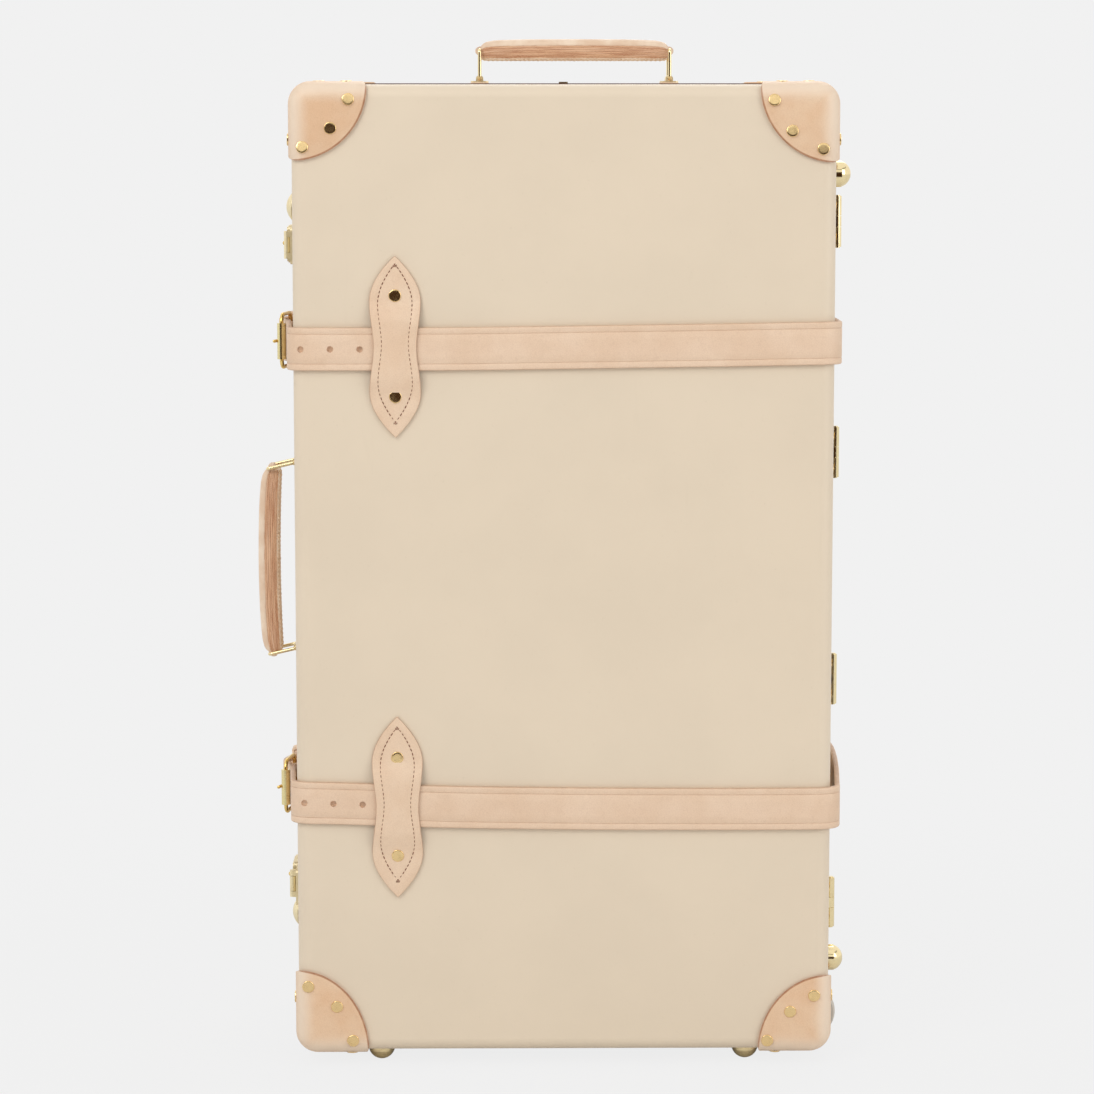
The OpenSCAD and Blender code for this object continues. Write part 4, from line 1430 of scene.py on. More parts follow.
@dataclass
class Strap:
    """A leather strap with its fold at the buckle, tip and loop; sign is 1 for the upper one, else -1."""

    sign: int
    width: float = 33.4 * MM
    cad_half: float = 19 * MM
    thick: float = 4 * MM
    off: float = 1.1 * MM
    inner_bend: float = 10.5 * MM
    face_gap: float = 0.3 * MM
    bend_step: float = 7.5
    mark_step: float = 5 * MM
    back_step: float = 16 * MM
    bridge_step: float = 1.5 * MM
    edge: float = 1.3 * MM
    crease_in: float = 5.2 * MM
    crease_deep: float = 0.45 * MM
    crease_fade: float = 2 * MM
    crease_half: float = 0.7 * MM
    split_behind: float = 3.5 * MM
    split_off: float = 4.5 * MM
    hole_count: int = 3
    hole_r: float = 2.5 * MM
    hole_in: float = 52.1 * MM
    hole_pitch: float = 22.9 * MM
    hole_mark: float = 3.4 * MM
    floor_edge: float = 0.5 * MM
    floor_t: float = 0.9 * MM
    floor_out: float = 0.6 * MM
    hole_dark: float = 1.1 * MM
    bridge: float = 13 * MM
    heel_off: float = 7.2 * MM
    buckle_len: float = 33.8 * MM
    roller_off: float = 12.4 * MM
    chape_r: float = 4.7 * MM
    chape_t: float = 2.8 * MM
    chape_w: float = 27.6 * MM
    chape_lead: float = 16 * MM
    chape_offs: Pair = (3.2 * MM, 6.4 * MM)
    chape_step: float = 3 * MM
    skived: float = 0.9 * MM
    prong_slot: float = 5 * MM
    tip_len: float = 74 * MM
    tip_point: float = 28 * MM
    tip_fall: float = 32 * MM
    tip_rows: int = 84
    heel_rise: float = 4.9 * MM
    lie: float = 0.3 * MM
    tip_ends: Pair = (0.1 * MM, 0.3 * MM)
    point_half: float = 0.4 * MM
    slot_w: float = 3.6 * MM
    slot_short: float = 2 * MM
    slot_off: float = 14 * MM
    slot_past: float = 6 * MM
    loop_w: float = 12 * MM
    loop_t: float = 2 * MM
    loop_past: float = 6 * MM
    loop_room: float = 0.5 * MM
    loop_edge: float = 0.5 * MM
    loop_soft: float = 2.5 * MM
    loop_inner_soft: float = 0.8 * MM
    soft_over: tuple[float, ...] = (-30, -15, 0, 15, 30)
    slants: tuple[Row, ...] = (
        ((-197, -1.8), (-89, -1.8), (27, -0.2), (151, 1.5), (198, 2.6)),
        ((-192, 0.2), (-90, -3.6), (28, -5.2), (154, -5.7), (202, -5.2)))
    hinge_rise: tuple[Row, ...] = (
        ((0, 2.6), (60, 2.0), (130, 0.6), (200, 0)),
        ((0, -5.2), (15, -4.6), (40, -0.4), (70, 4.4), (100, 7.4), (130, 7.6), (170, 4.4), (215, 0)))
    bulge: tuple[Row, ...] = (
        ((0, 0.6), (40, 0.8), (120, 0.4), (200, 0)),
        ((0, 2.2), (20, 3.4), (50, 5.6), (80, 6.7), (110, 6.8), (140, 5.6), (180, 2.6), (218, 0)))

    def __post_init__(self) -> None:
        """Works out the straps' heights and the buckles' places."""
        low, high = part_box("base_straps")
        self.rise = (high.z - low.z) / 2 - self.cad_half
        self.level = CASE.middle_z + self.sign * self.rise
        self.bend_x = CASE.half + self.off - self.inner_bend
        self.side = self.bend_x + self.inner_bend
        self.bend_front = CASE.front - self.face_gap + self.inner_bend
        self.bend_back = CASE.back + self.face_gap - self.inner_bend
        self.split_y = CASE.seam + self.split_behind
        self.reach = sqrt(self.buckle_len**2 - (self.roller_off - self.heel_off) ** 2)
        self.heel_y = self.split_y + self.reach

    def beside(self, off: float, y: float, up: float = 0.0) -> Vector:
        """A place at a distance off the lock side's wall, level with a strap or above its middle."""
        return Vector((CASE.middle_x - CASE.half - off, y, self.level + up))

    def hole_x(self, number: int) -> float:
        """Place of a punched hole from the case's middle."""
        return self.hole_in - number * self.hole_pitch - CASE.half

    def drift(self, x: float, y: float) -> float:
        """How far a strap lies off level, as hands have set it.

        Args:
            x: Place from the case's middle.
            y: Place in depth.

        Returns:
            The height to add.
        """
        row = pick(self.sign, self.slants)
        depth = CASE.seam - CASE.front
        if x < -self.bend_x:
            return row[0][1] * MM * (1 - ease((y - CASE.front) / depth))
        if x > self.bend_x:
            return read(pick(self.sign, self.hinge_rise), (y - CASE.front) / MM) * MM
        if y > CASE.seam:
            return 0.0
        return sum(read(row, x / MM + step) for step in self.soft_over) / len(self.soft_over) * MM

    def station(self, x: float, y: float, out: Pair, along: float) -> Station:
        """A place on a strap's inner face.

        Args:
            x: Place from the case's middle.
            y: Place in depth.
            out: Outward direction in plan.
            along: Distance along the strap.

        Returns:
            The station.
        """
        height = self.level + self.drift(x, y)
        if x > self.bend_x:
            off = read(pick(self.sign, self.bulge), (y - CASE.front) / MM) * MM
            x += off * ease((x - self.bend_x) / self.inner_bend)
        return Station(Vector((CASE.middle_x + x, y, height)), Z_AXIS, Vector((*out, 0)), along)

    def route(self, marks: list[Mark]) -> list[Station]:
        """Turns plan marks into stations.

        Args:
            marks: Plan place and outward angle in degrees of each mark.

        Returns:
            The stations with their distance along.
        """
        made: list[Station] = []
        along = 0.0
        last = None
        for x, y, angle in marks:
            out = (cos(radians(angle)), sin(radians(angle)))
            mid = Vector((x + out[0] * self.thick / 2, y + out[1] * self.thick / 2))
            along += (mid - last).length if last is not None else 0.0
            last = mid
            made.append(self.station(x, y, out, along))
        return made

    def straight(self, start: Pair, stop: Pair, angle: float, step: float = 8 * MM) -> list[Mark]:
        """Marks on a straight stretch, both ends included.

        Args:
            start: Plan place of the first mark.
            stop: Plan place of the last mark.
            angle: Outward angle in degrees.
            step: Distance between marks, about.

        Returns:
            The marks.
        """
        gap = dist(start, stop)
        count = max(1, round(gap / step))
        return [(mix(start[0], stop[0], k / count), mix(start[1], stop[1], k / count), angle)
                for k in range(count + 1)]

    def bend(self, centre: Pair, start: float, stop: float) -> list[Mark]:
        """Marks round a bend, both ends left out.

        Args:
            centre: Plan place of the bend's centre.
            start: Outward angle at its start, in degrees.
            stop: Outward angle at its end.

        Returns:
            The marks.
        """
        count = round(abs(stop - start) / self.bend_step)
        angles = [mix(start, stop, k / count) for k in range(1, count)]
        return [(centre[0] + self.inner_bend * cos(radians(a)),
                 centre[1] + self.inner_bend * sin(radians(a)), a) for a in angles]

    def section(self, half: float, thick: float) -> Outline:
        """Outline of a strap: rounded edges and a crease along each.

        Args:
            half: Half of its width.
            thick: Its thickness.

        Returns:
            The outline.
        """
        edge = min(self.edge, half * 0.6, thick * 0.45)
        ring: Outline = [(-half + edge * 0.5, 0.0), (-half, edge * 0.6)]
        ring += [(-half + edge * (1 - cos(t)), thick - edge * (1 - sin(t)))
                 for t in (radians(30 * k) for k in range(4))]
        crease = max(half * 0.35, half - self.crease_in)
        deep = self.crease_deep * ease((half - self.crease_in) / self.crease_fade)
        gap = min(self.crease_half, crease * 0.4)
        ring += [(-crease - gap, thick), (-crease, thick - deep), (-crease + gap, thick),
                 (-crease * 0.4, thick)]
        return ring + [(-a, h) for a, h in reversed(ring)]

    def carry(self, name: str, stations: list[Station],
              wear: Callable[[float, float], float] = unworn) -> Object:
        """Carries the strap's full section along stations."""
        return sweep(name, stations, lambda s: self.section(self.width / 2, self.thick), wear)

    def lid_strap(self) -> Object:
        """The strap over the lid, from under the roller to the hinges.

        Returns:
            The piece.
        """
        marks = self.straight((-CASE.half - self.split_off, self.split_y - 0.1 * MM),
                              (-self.side, self.bend_front), 180, self.mark_step)
        marks += self.bend((-self.bend_x, self.bend_front), 180, 270)
        face = CASE.front - self.face_gap
        stops = [-self.bend_x]
        for k in range(self.hole_count):
            hole = self.hole_x(k)
            stops = [*stops[:1], hole - self.hole_mark, hole + self.hole_mark, *stops[1:]]
        for a, b in zip([*stops, stops[-1]], [*stops[1:], self.bend_x]):
            if b > a:
                marks += self.straight((a, face), (b, face), 270)[0 if a == -self.bend_x else 1:]
        marks += self.bend((self.bend_x, self.bend_front), 270, 360)
        marks += self.straight((self.side, self.bend_front), (self.side, CASE.seam - self.bridge),
                               0, self.mark_step)
        stations = self.route(marks)
        holes = self.hole_places(stations)
        # the holes' walls and rims get painted shade
        piece = self.carry(f"lid_strap_{self.sign}", stations,
                           lambda along, across: self.hole_painted_shade(holes, along, across))
        pierce(piece, [peg(self.hole_r, CUT_LENGTH, frame_of(at, X_AXIS, Z_AXIS)) for at, _ in holes])
        floors = [peg(self.hole_r + self.floor_edge, self.floor_t,
                      frame_of(Vector((at.x, face - self.floor_out, at.z)), X_AXIS, Z_AXIS))
                  for at, _ in holes]
        return join(piece.name, [piece, *floors])

    def hole_places(self, stations: list[Station]) -> list[tuple[Vector, float]]:
        """Finds the punched holes.

        Args:
            stations: The strap's stations.

        Returns:
            Each hole's centre and its distance along the strap.
        """
        found = []
        for k in range(self.hole_count):
            x = self.hole_x(k)
            height = self.level + self.drift(x, CASE.front)
            at = Vector((CASE.middle_x + x, CASE.front, height))
            near = min(stations, key=lambda s: (s.point.xy - at.xy).length)
            found.append((at, near.along + (at.x - near.point.x)))
        return found

    def hole_painted_shade(self, holes: list[tuple[Vector, float]], along: float, across: float) -> float:
        """Painted shade on the leather at a hole's wall and round it."""
        near = min(hypot(along - at, across) for _, at in holes)
        return ease(1 - (near - self.hole_r) / self.hole_dark)

    def base_strap(self) -> Object:
        """The strap round the back, from the hinges to the buckle's heel.

        Returns:
            The piece.
        """
        side = self.side
        marks = self.straight((side, CASE.seam + self.bridge), (side, self.bend_back), 0, self.mark_step)
        marks += self.bend((self.bend_x, self.bend_back), 0, 90)
        marks += self.straight((self.bend_x, CASE.back + self.face_gap),
                               (-self.bend_x, CASE.back + self.face_gap), 90, self.back_step)
        marks += self.bend((-self.bend_x, self.bend_back), 90, 180)
        marks += self.straight((-side, self.bend_back), (-side, self.heel_y - 3 * MM), 180)
        return self.carry(f"base_strap_{self.sign}", self.route(marks))

    def bridge_strap(self) -> Object:
        """The short stretch over the hinge line."""
        marks = self.straight((self.side, CASE.seam - self.bridge),
                              (self.side, CASE.seam + self.bridge), 0, self.bridge_step)
        return self.carry(f"strap_bridge_{pick(self.sign, ('upper', 'lower'))}", self.route(marks))

    def chape(self, part: int) -> Object:
        """Half of the strap's fold round the heel bar, beside the prong.

        Args:
            part: Which side of the prong.

        Returns:
            The fold.
        """
        middle = self.chape_r - self.chape_t / 2
        first, last = self.chape_offs
        under = [k / 6 for k in range(6)]
        turns = [radians(-180 * k / 8) for k in range(9)]
        over = [k / 5 for k in range(1, 6)]
        marks = [(mix(first, self.heel_off - middle, ease(t)), self.heel_y + self.chape_lead * (1 - t))
                 for t in under]
        marks += [(self.heel_off - middle * cos(t), self.heel_y + middle * sin(t))
                  for t in turns]
        marks += [(mix(self.heel_off + middle, last, ease(t)), self.heel_y + self.chape_lead * t)
                  for t in over]
        wide = (self.chape_w - self.prong_slot) / 2
        offset = part * (self.prong_slot + wide) / 2
        stations = []
        for k, (off, y) in enumerate(marks):
            before, after = marks[max(0, k - 1)], marks[min(len(marks) - 1, k + 1)]
            run = Vector((-(after[0] - before[0]), after[1] - before[1])).normalized()
            stations.append(Station(self.beside(off, y, offset), Z_AXIS,
                                    Vector((run.y, -run.x, 0)), k * self.chape_step))

        def outline(station: Station) -> Outline:
            """Section of the fold, skived thin at its free end.

            Args:
                station: The place on the fold.

            Returns:
                The section.
            """
            thin = ease((station.along / self.chape_step - len(marks) + 6) / 5)
            half_t = mix(self.chape_t, self.skived, thin) / 2
            return rounded(wide, 2 * half_t, half_t * 0.6)

        return sweep(f"chape_{self.sign}_{part}", stations, outline)

    def tip_height(self, back: float) -> float:
        """Distance of the tip's middle off the wall, at a distance behind the roller bar.

        Args:
            back: The distance.

        Returns:
            The height.
        """
        under = self.split_off + self.thick / 2
        over = self.heel_off + self.heel_rise + self.lie + self.thick / 2
        flat = self.off + self.thick + self.lie + self.thick / 2
        if back < self.reach:
            return mix(under, over, ease(back / self.reach))
        return mix(over, flat, ease((back - self.reach) / self.tip_fall))

    def tip_half(self, back: float) -> float:
        """Half width of the tip, drawn in by two arcs towards its point.

        Args:
            back: Distance behind the roller bar.

        Returns:
            The half width.
        """
        reach = self.reach + self.tip_len - self.tip_point
        if back < reach:
            return self.width / 2
        radius = (self.tip_point**2 + self.width**2 / 4) / self.width
        return sqrt(max(0.0, radius**2 - (back - reach) ** 2)) - radius + self.width / 2

    def tip(self) -> Object:
        """The strap's free end: under the roller, over the heel bar and through the loop.

        Returns:
            The piece.
        """
        total = self.reach + self.tip_len
        stations = []
        for k in range(self.tip_rows + 1):
            share = sin(pi / 2 * k / self.tip_rows) ** 0.9
            back = self.tip_ends[0] + (total - sum(self.tip_ends)) * share
            out = Vector((-1, -slope(self.tip_height, back, 0.2 * MM), 0)).normalized()
            place = self.beside(self.tip_height(back), self.split_y + back)
            stations.append(Station(place - out * self.thick / 2, Z_AXIS, out, back))
        piece = sweep(f"strap_tip_{self.sign}", stations,
                      lambda s: self.section(max(self.point_half, self.tip_half(s.along)), self.thick))
        long = self.reach - self.slot_short
        place = self.beside(self.slot_off, self.heel_y + self.slot_past - long / 2)
        return pierce(piece, [peg(self.slot_w / 2, CUT_LENGTH, frame_of(place, Y_AXIS, Z_AXIS),
                                  long - self.slot_w)])

    def loop_outline(self) -> Outline:
        """The fixed loop seen along the strap: its two legs and its crown.

        Returns:
            The outline.
        """
        inner = self.width / 2 + self.lie
        tall = self.off + 2 * self.thick + self.loop_room
        outer = inner + self.loop_t
        high = tall + self.loop_t
        soft, tight = self.loop_soft, self.loop_inner_soft
        shape = [(outer, 0.0), *arc((outer - soft, high - soft), soft, 0, 90, 5),
                 *arc((soft - outer, high - soft), soft, 90, 180, 5), (-outer, 0.0), (-inner, 0.0)]
        return [*shape, *arc((tight - inner, tall - tight), tight, 180, 90, 3),
                *arc((inner - tight, tall - tight), tight, 90, 0, 3), (inner, 0.0)]

    def loop(self) -> Object:
        """The fixed loop that holds the strap's tip down."""
        start = self.heel_y + self.tip_fall + self.loop_past
        matrix = frame_of(self.beside(0.1 * MM, start), Z_AXIS, -X_AXIS)
        return slab(f"strap_loop_{self.sign}", self.loop_outline(), -self.loop_w, matrix, self.loop_edge)


def build_straps(shop: Workshop, straps: list[Strap]) -> None:
    """Builds all strap pieces.

    Args:
        shop: Finishes and places the pieces.
        straps: The upper strap and the lower one.
    """
    shop.fit(join("lid_strap_pair", [strap.lid_strap() for strap in straps]), STRAP_HIDE, Body.LID,
             ["lid_straps"])
    back = [strap.base_strap() for strap in straps]
    folds = [strap.chape(part) for strap in straps for part in (1, -1)]
    shop.fit(join("base_strap_pair", back + folds), STRAP_HIDE, Body.BASE, ["base_straps"])
    for strap in straps:
        start, end = (Vector((CASE.middle_x + strap.side, CASE.seam + away, strap.level))
                      for away in (strap.bridge, -strap.bridge))
        shop.bend(strap.bridge_strap(), STRAP_HIDE, start, end)
    shop.fit(join("strap_tip_pair", [strap.tip() for strap in straps]), STRAP_HIDE, Body.BASE,
             ["strap_tips"])
    shop.fit(join("strap_loop_pair", [strap.loop() for strap in straps]), PATCH_HIDE, Body.BASE,
             ["strap_loops"])


# Keeper patches


@dataclass
class Keeper:
    """Leaf-shaped patch that holds a strap to the lid, with stitches and rivets."""

    strap: Strap
    inward: float = 79.5 * MM
    width: float = 40 * MM
    waist: float = 33.5 * MM
    thick: float = 2.4 * MM
    low: float = 0.1 * MM
    high: float = 4.45 * MM
    fall: float = 21 * MM
    flat: float = 18.5 * MM
    edge: float = 0.8 * MM
    rows: int = 120
    lengths: Pair = (140.6 * MM, 144.4 * MM)
    shifts: Pair = (-0.2 * MM, -3.8 * MM)
    seam_len: float = 122 * MM
    seam_up: float = 2.9 * MM
    seam_width: float = 26.6 * MM
    seam_waist: float = 20.8 * MM
    seam_sunk: Pair = (0.1 * MM, 0.35 * MM)
    groove_deep: float = 0.28 * MM
    groove_wide: float = 0.8 * MM
    groove_fade: float = 2 * MM
    ridge: float = 0.05 * MM
    crown: float = 0.1 * MM
    end_gap: float = 0.3 * MM
    point_half: float = 0.5 * MM
    seam_in: float = 3 * MM
    burnish: float = 0.6
    burnish_in: float = 1 * MM
    knots: tuple[float, ...] = (-1.2 * MM, -0.4 * MM, 0.4 * MM, 1.2 * MM)
    knot_half: float = 1.2 * MM
    knot_lean: float = 0.3 * MM
    rivet_r: float = 4.9 * MM
    rivet_up: float = 0.6 * MM
    rivet_leans: Pair = (0.02, -0.07)

    def __post_init__(self) -> None:
        """Finds the patch's middle on the lid's face and where the strap passes under it."""
        strap = self.strap
        self.length = pick(strap.sign, self.lengths)
        self.centre = Vector((CASE.middle_x - CASE.half + self.inward, CASE.front,
                              strap.level + pick(strap.sign, self.shifts)))
        drift = strap.drift(self.centre.x - CASE.middle_x, CASE.front)
        self.hump = strap.level + drift - self.centre.z

    def leaf(self, s: float, length: float, width: float, waist: float) -> float:
        """Half width of a leaf shape at a distance from its middle.

        Args:
            s: The distance.
            length: The leaf's length.
            width: Its greatest width.
            waist: Its width in the middle.

        Returns:
            The half width.
        """
        far, swell = length / 2, length / 4
        if abs(s) < swell:
            return mix(waist, width, ease(abs(s) / swell)) / 2
        share = min(1.0, (abs(s) - swell) / (far - swell))
        return width / 2 * max(0.0, cos(pi / 2 * share)) ** 0.9

    def half(self, s: float) -> float:
        """Half width of a patch."""
        return self.leaf(s, self.length, self.width, self.waist)

    def sewn(self, s: float) -> float:
        """Half width of the sewn outline."""
        return self.leaf(s - self.seam_up, self.seam_len, self.seam_width, self.seam_waist)

    def lift(self, s: float) -> float:
        """Height of the patch's underside at a distance from its middle."""
        over = ease((abs(s - self.hump) - self.flat) / self.fall)
        return mix(self.high, self.low, over)

    def patch(self) -> Object:
        """One patch, swept from its lower point to its upper one.

        Returns:
            The piece.
        """
        far = self.length / 2 - self.end_gap
        stations = []
        for k in range(self.rows + 1):
            s = -far * cos(pi * k / self.rows)
            out = Vector((0, -1, -slope(self.lift, s, 0.1 * MM))).normalized()
            place = self.centre + Vector((0, -self.lift(s), s))
            stations.append(Station(place, X_AXIS, out, s))

        def outline(station: Station) -> Outline:
            """Section with soft edges, a sewn groove and a slightly crowned middle.

            Args:
                station: The place on the patch.

            Returns:
                The section.
            """
            half = max(self.point_half, self.half(station.along))
            edge = min(self.edge, half * 0.5)
            line = max(half * 0.3, min(self.sewn(station.along), half - self.seam_in))
            groove = self.groove_deep * ease(self.sewn(station.along) / self.groove_fade)
            wide = min(self.groove_wide, line * 0.4)
            side = [(half, 0.3 * MM), (half, self.thick - edge),
                    (half - edge * 0.3, self.thick - edge * 0.3), (half - edge, self.thick),
                    (line + wide, self.thick + self.ridge), (line, self.thick - groove),
                    (line - wide, self.thick + self.ridge)]
            return side + [(0.0, self.thick + self.crown)] + [(-a, h) for a, h in reversed(side)]

        return sweep(f"keeper_{self.strap.sign}", stations, outline, self.edge_wear)

    def edge_wear(self, along: float, across: float) -> float:
        """Burnish along the patch's cut edge."""
        gap = self.half(abs(along)) - abs(across)
        return self.burnish * ease(1 - gap / self.burnish_in)

    def seam_lines(self) -> list[list[Vector]]:
        """The two sewn lines of a patch, with a short bar across where they meet.

        Returns:
            Points of the lines.
        """
        ends = (self.seam_up - self.seam_len / 2, self.seam_up + self.seam_len / 2)
        lines = []

        def spot(across: float, s: float) -> Vector:
            """A place on the patch's outer face.

            Args:
                across: Distance across.
                s: Distance along.

            Returns:
                The place.
            """
            lift = self.lift(s)
            sunk = mix(*self.seam_sunk, (lift - self.low) / (self.high - self.low))
            return self.centre + Vector((across, sunk - lift - self.thick, s))

        for side in (-1, 1):
            places = [mix(*ends, k / 100) for k in range(101)]
            lines.append([spot(side * self.sewn(s), s) for s in places])
        for s in ends:
            lines += [[spot(off, s - self.knot_half), spot(off + self.knot_lean, s + self.knot_half)]
                      for off in self.knots]
        return lines

    def rivet_shift(self) -> tuple[Vector, float]:
        """How far a rivet moves with its patch and how it leans."""
        up = self.centre.z - self.strap.level + self.rivet_up
        return Vector((0, 0, up)), pick(self.strap.sign, self.rivet_leans)


def build_keepers(shop: Workshop, repeats: Repeats, keepers: list[Keeper]) -> None:
    """Builds the patches, their stitches and their rivets.

    Args:
        shop: Finishes and places the pieces.
        repeats: Makes the stitches and rivets.
        keepers: The upper patch and the lower one.
    """
    shop.fit(join("keeper_patch_pair", [keeper.patch() for keeper in keepers]), PATCH_HIDE, Body.LID,
             ["keeper_patches"])
    lines = [line for keeper in keepers for line in keeper.seam_lines()]
    shop.fit(repeats.stitches("keeper_stitches", lines, 11, WAXED), WAXED, Body.LID)
    heads = repeats.rivets("keeper_rivet_heads", "keeper_rivets", keepers[0].rivet_r, 5,
                           lambda at: pick(CASE.corner(at)[1], keepers).rivet_shift())
    shop.fit(heads, RIVET_BRASS, Body.LID, ["keeper_rivets"])


# Handles


@dataclass(frozen=True)
class GripPlace:
    """Where a grip lies: its middle, the way of its length, the way off the wall and its bow."""

    name: str
    body: Body
    middle: Vector
    along: Vector
    out: Vector
    bow: float

    def at(self, s: float, across: float, height: float, share: float) -> Vector:
        """A point of the grip; share is its distance along over the half length, for the bow."""
        return (self.middle + self.along * s + self.out.cross(self.along) * across
                + self.out * (height - self.bow * share**2))


@dataclass
class Handles:
    """Stacked leather grips with their sewn lower edge, and the pads under the brackets."""

    repeats: Repeats
    span: float = 151 * MM
    over: float = 3.5 * MM
    thick: float = 17.6 * MM
    width: float = 24 * MM
    arm: float = 22.6 * MM
    pivot: float = 4.6 * MM
    sag: float = 13.0
    nose_mid: float = -0.6 * MM
    nose_half: float = 3.7 * MM
    nose_len: float = 1.6 * MM
    nose_fade: float = 0.5 * MM
    heel: float = 0.8 * MM
    heel_len: float = 4 * MM
    least: float = 0.4 * MM
    # strength of the darkening in the grooves beside the bars
    groove_dark: float = 0.55
    groove_reach: float = 2.4 * MM
    rows: int = 260
    scallops: float = 3.6 * MM
    wave: float = 0.5 * MM
    layers: Pair = (0.30, 0.90)
    layer_count: int = 5
    layer_in: Pair = (0.3 * MM, 0.2 * MM)
    seam_half: float = 70 * MM
    seam_across: float = 0.82
    seam_depth: float = 0.955
    side_bow: float = 2.2 * MM
    pad_share: Pair = (0.72, 0.9)
    pad_round: float = 4 * MM
    pad_edge: float = 0.55 * MM
    crown: Row = ((0, 0), (40, 0.2), (56, 0.6), (64.5, 1.1), (70, 2.2), (72.4, 3.4),
                               (74, 5))

    def profile(self, s: float) -> Mark:
        """Half width, top and bottom of a grip at a distance from its middle.

        Args:
            s: The distance.

        Returns:
            The three heights.
        """
        far = self.span / 2 + self.over
        body = self.span / 2 - self.nose_len
        out = abs(s)
        top = self.thick / 2 - read(self.crown, out / MM) * MM
        wave = self.wave * abs(sin(pi * s / self.scallops))
        low = -self.thick / 2 + wave + self.heel * ease((out - body + self.heel_len) / self.heel_len)
        half = self.width / 2 * (1 - 0.06 * (out / far) ** 2)
        if out > body:
            round_off = sqrt(max(0.0, 1 - ((out - body) / (far - body)) ** 2.4))
            share = ease((out - body) / self.nose_fade)
            top = mix(top, self.nose_mid + self.nose_half * round_off, share)
            low = mix(low, self.nose_mid - self.nose_half * round_off, share)
            half *= 0.25 + 0.75 * round_off
        return half, max(top, low + self.least), low

    def outline(self, s: float) -> list[Mark]:
        """Section of a grip with its depth from 0 at the top to 1 at the bottom.

        Args:
            s: Distance from the grip's middle.

        Returns:
            Across, height and depth of each point.
        """
        half, top, low = self.profile(s)
        count = 26
        side = []
        for k in range(count + 1):
            angle = pi * (0.5 - k / count)
            across = half * abs(cos(angle)) ** 0.3
            height = mix(low, top, 0.5 + 0.5 * sin(angle))
            depth = (top - height) / (top - low)
            step = 0.0
            first, last = self.layers
            if first < depth < last:
                turn = (depth - first) / (last - first) * pi * self.layer_count
                step = self.layer_in[0] + self.layer_in[1] * abs(sin(turn))
            side.append((max(0.0, across - step), height, depth))
        return side + [(-a, h, d) for a, h, d in reversed(side[1:-1])]

    def grip(self, lies: GripPlace) -> Object:
        """One grip.

        Args:
            lies: Where it lies.

        Returns:
            The grip.
        """
        far = self.span / 2 + self.over - 0.05 * MM
        points, places = [], []
        for k in range(self.rows + 1):
            s = far * sin(pi / 2 * sin(pi * (k / self.rows - 0.5)))
            for a, h, depth in self.outline(s):
                points.append(lies.at(s, a, h, s / far))
                places.append((s, a, depth))
        return skin(f"{lies.name}_stacked_grip", points, len(self.outline(0.0)), places,
                    [self.groove_darkening(place) for place in places], 50)

    def groove_darkening(self, place: Sequence[float]) -> float:
        """Darker leather in the grip's grooves beside both bars."""
        near = abs(abs(place[0]) - self.span / 2)
        return self.groove_dark * ease(1 - near / self.groove_reach)

    def seam_lines(self, lies: GripPlace) -> list[list[Vector]]:
        """Sewn lines on both sides of a grip, just above its lower edge.

        Args:
            lies: Where the grip lies.

        Returns:
            Points of the lines.
        """
        far = self.span / 2 + self.over
        lines = []
        for side in (-1, 1):
            line = []
            for k in range(101):
                s = mix(-self.seam_half, self.seam_half, k / 100)
                half, top, low = self.profile(s)
                line.append(lies.at(s, side * half * self.seam_across, mix(top, low, self.seam_depth),
                                    s / far))
            lines.append(line)
        return lines

    def pad(self, name: str, low: Vector, high: Vector) -> Object:
        """A soft-edged pad in place of one CAD pad.

        Args:
            name: The piece's name.
            low: Lowest corner of the CAD pad.
            high: Highest corner.

        Returns:
            The pad.
        """
        size = high - low
        centre = (low + high) / 2
        axis = min(range(3), key=lambda k: size[k])
        if axis == 2:
            matrix = frame_of(Vector((centre.x, centre.y, low.z)), X_AXIS, Y_AXIS)
            wide = size.x
        else:
            matrix = frame_of(Vector((high.x, centre.y, centre.z)), Z_AXIS, Y_AXIS)
            wide = size.z
        outline = rounded(wide * self.pad_share[0], size.y * self.pad_share[1], self.pad_round)
        return slab(name, outline, size[axis], matrix, self.pad_edge)

    def build(self, shop: Workshop) -> None:
        """Builds both grips, their stitches and the pads.

        Args:
            shop: Finishes and places the pieces.
        """
        low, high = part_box("top_grip")
        top_middle = Vector(((low.x + high.x) / 2, (low.y + high.y) / 2,
                             CASE.top + self.pivot + self.arm))
        low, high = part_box("side_grip")
        lean = radians(self.sag)
        side_middle = Vector((CASE.middle_x - CASE.half - self.pivot - self.arm * cos(lean),
                              (low.y + high.y) / 2, (low.z + high.z) / 2))
        grips = (GripPlace("top", Body.TOP_GRIP, top_middle, X_AXIS, Z_AXIS, 0.0),
                 GripPlace("side", Body.SIDE_GRIP, side_middle, Z_AXIS, -X_AXIS, self.side_bow))
        for seed, lies in enumerate(grips):
            shop.fit(self.grip(lies), GRIP_HIDE, lies.body, [f"{lies.name}_grip"])
            stitches = self.repeats.stitches(f"{lies.name}_grip_stitches", self.seam_lines(lies),
                                             20 + seed)
            shop.fit(stitches, LINEN, lies.body)
        pads = [self.pad(f"pad_{k}", *pair) for k, pair in enumerate(islands("handle_pads"))]
        shop.fit(join("bracket_pads", pads), PATCH_HIDE, Body.BASE, ["handle_pads"])


# Hardware and inside


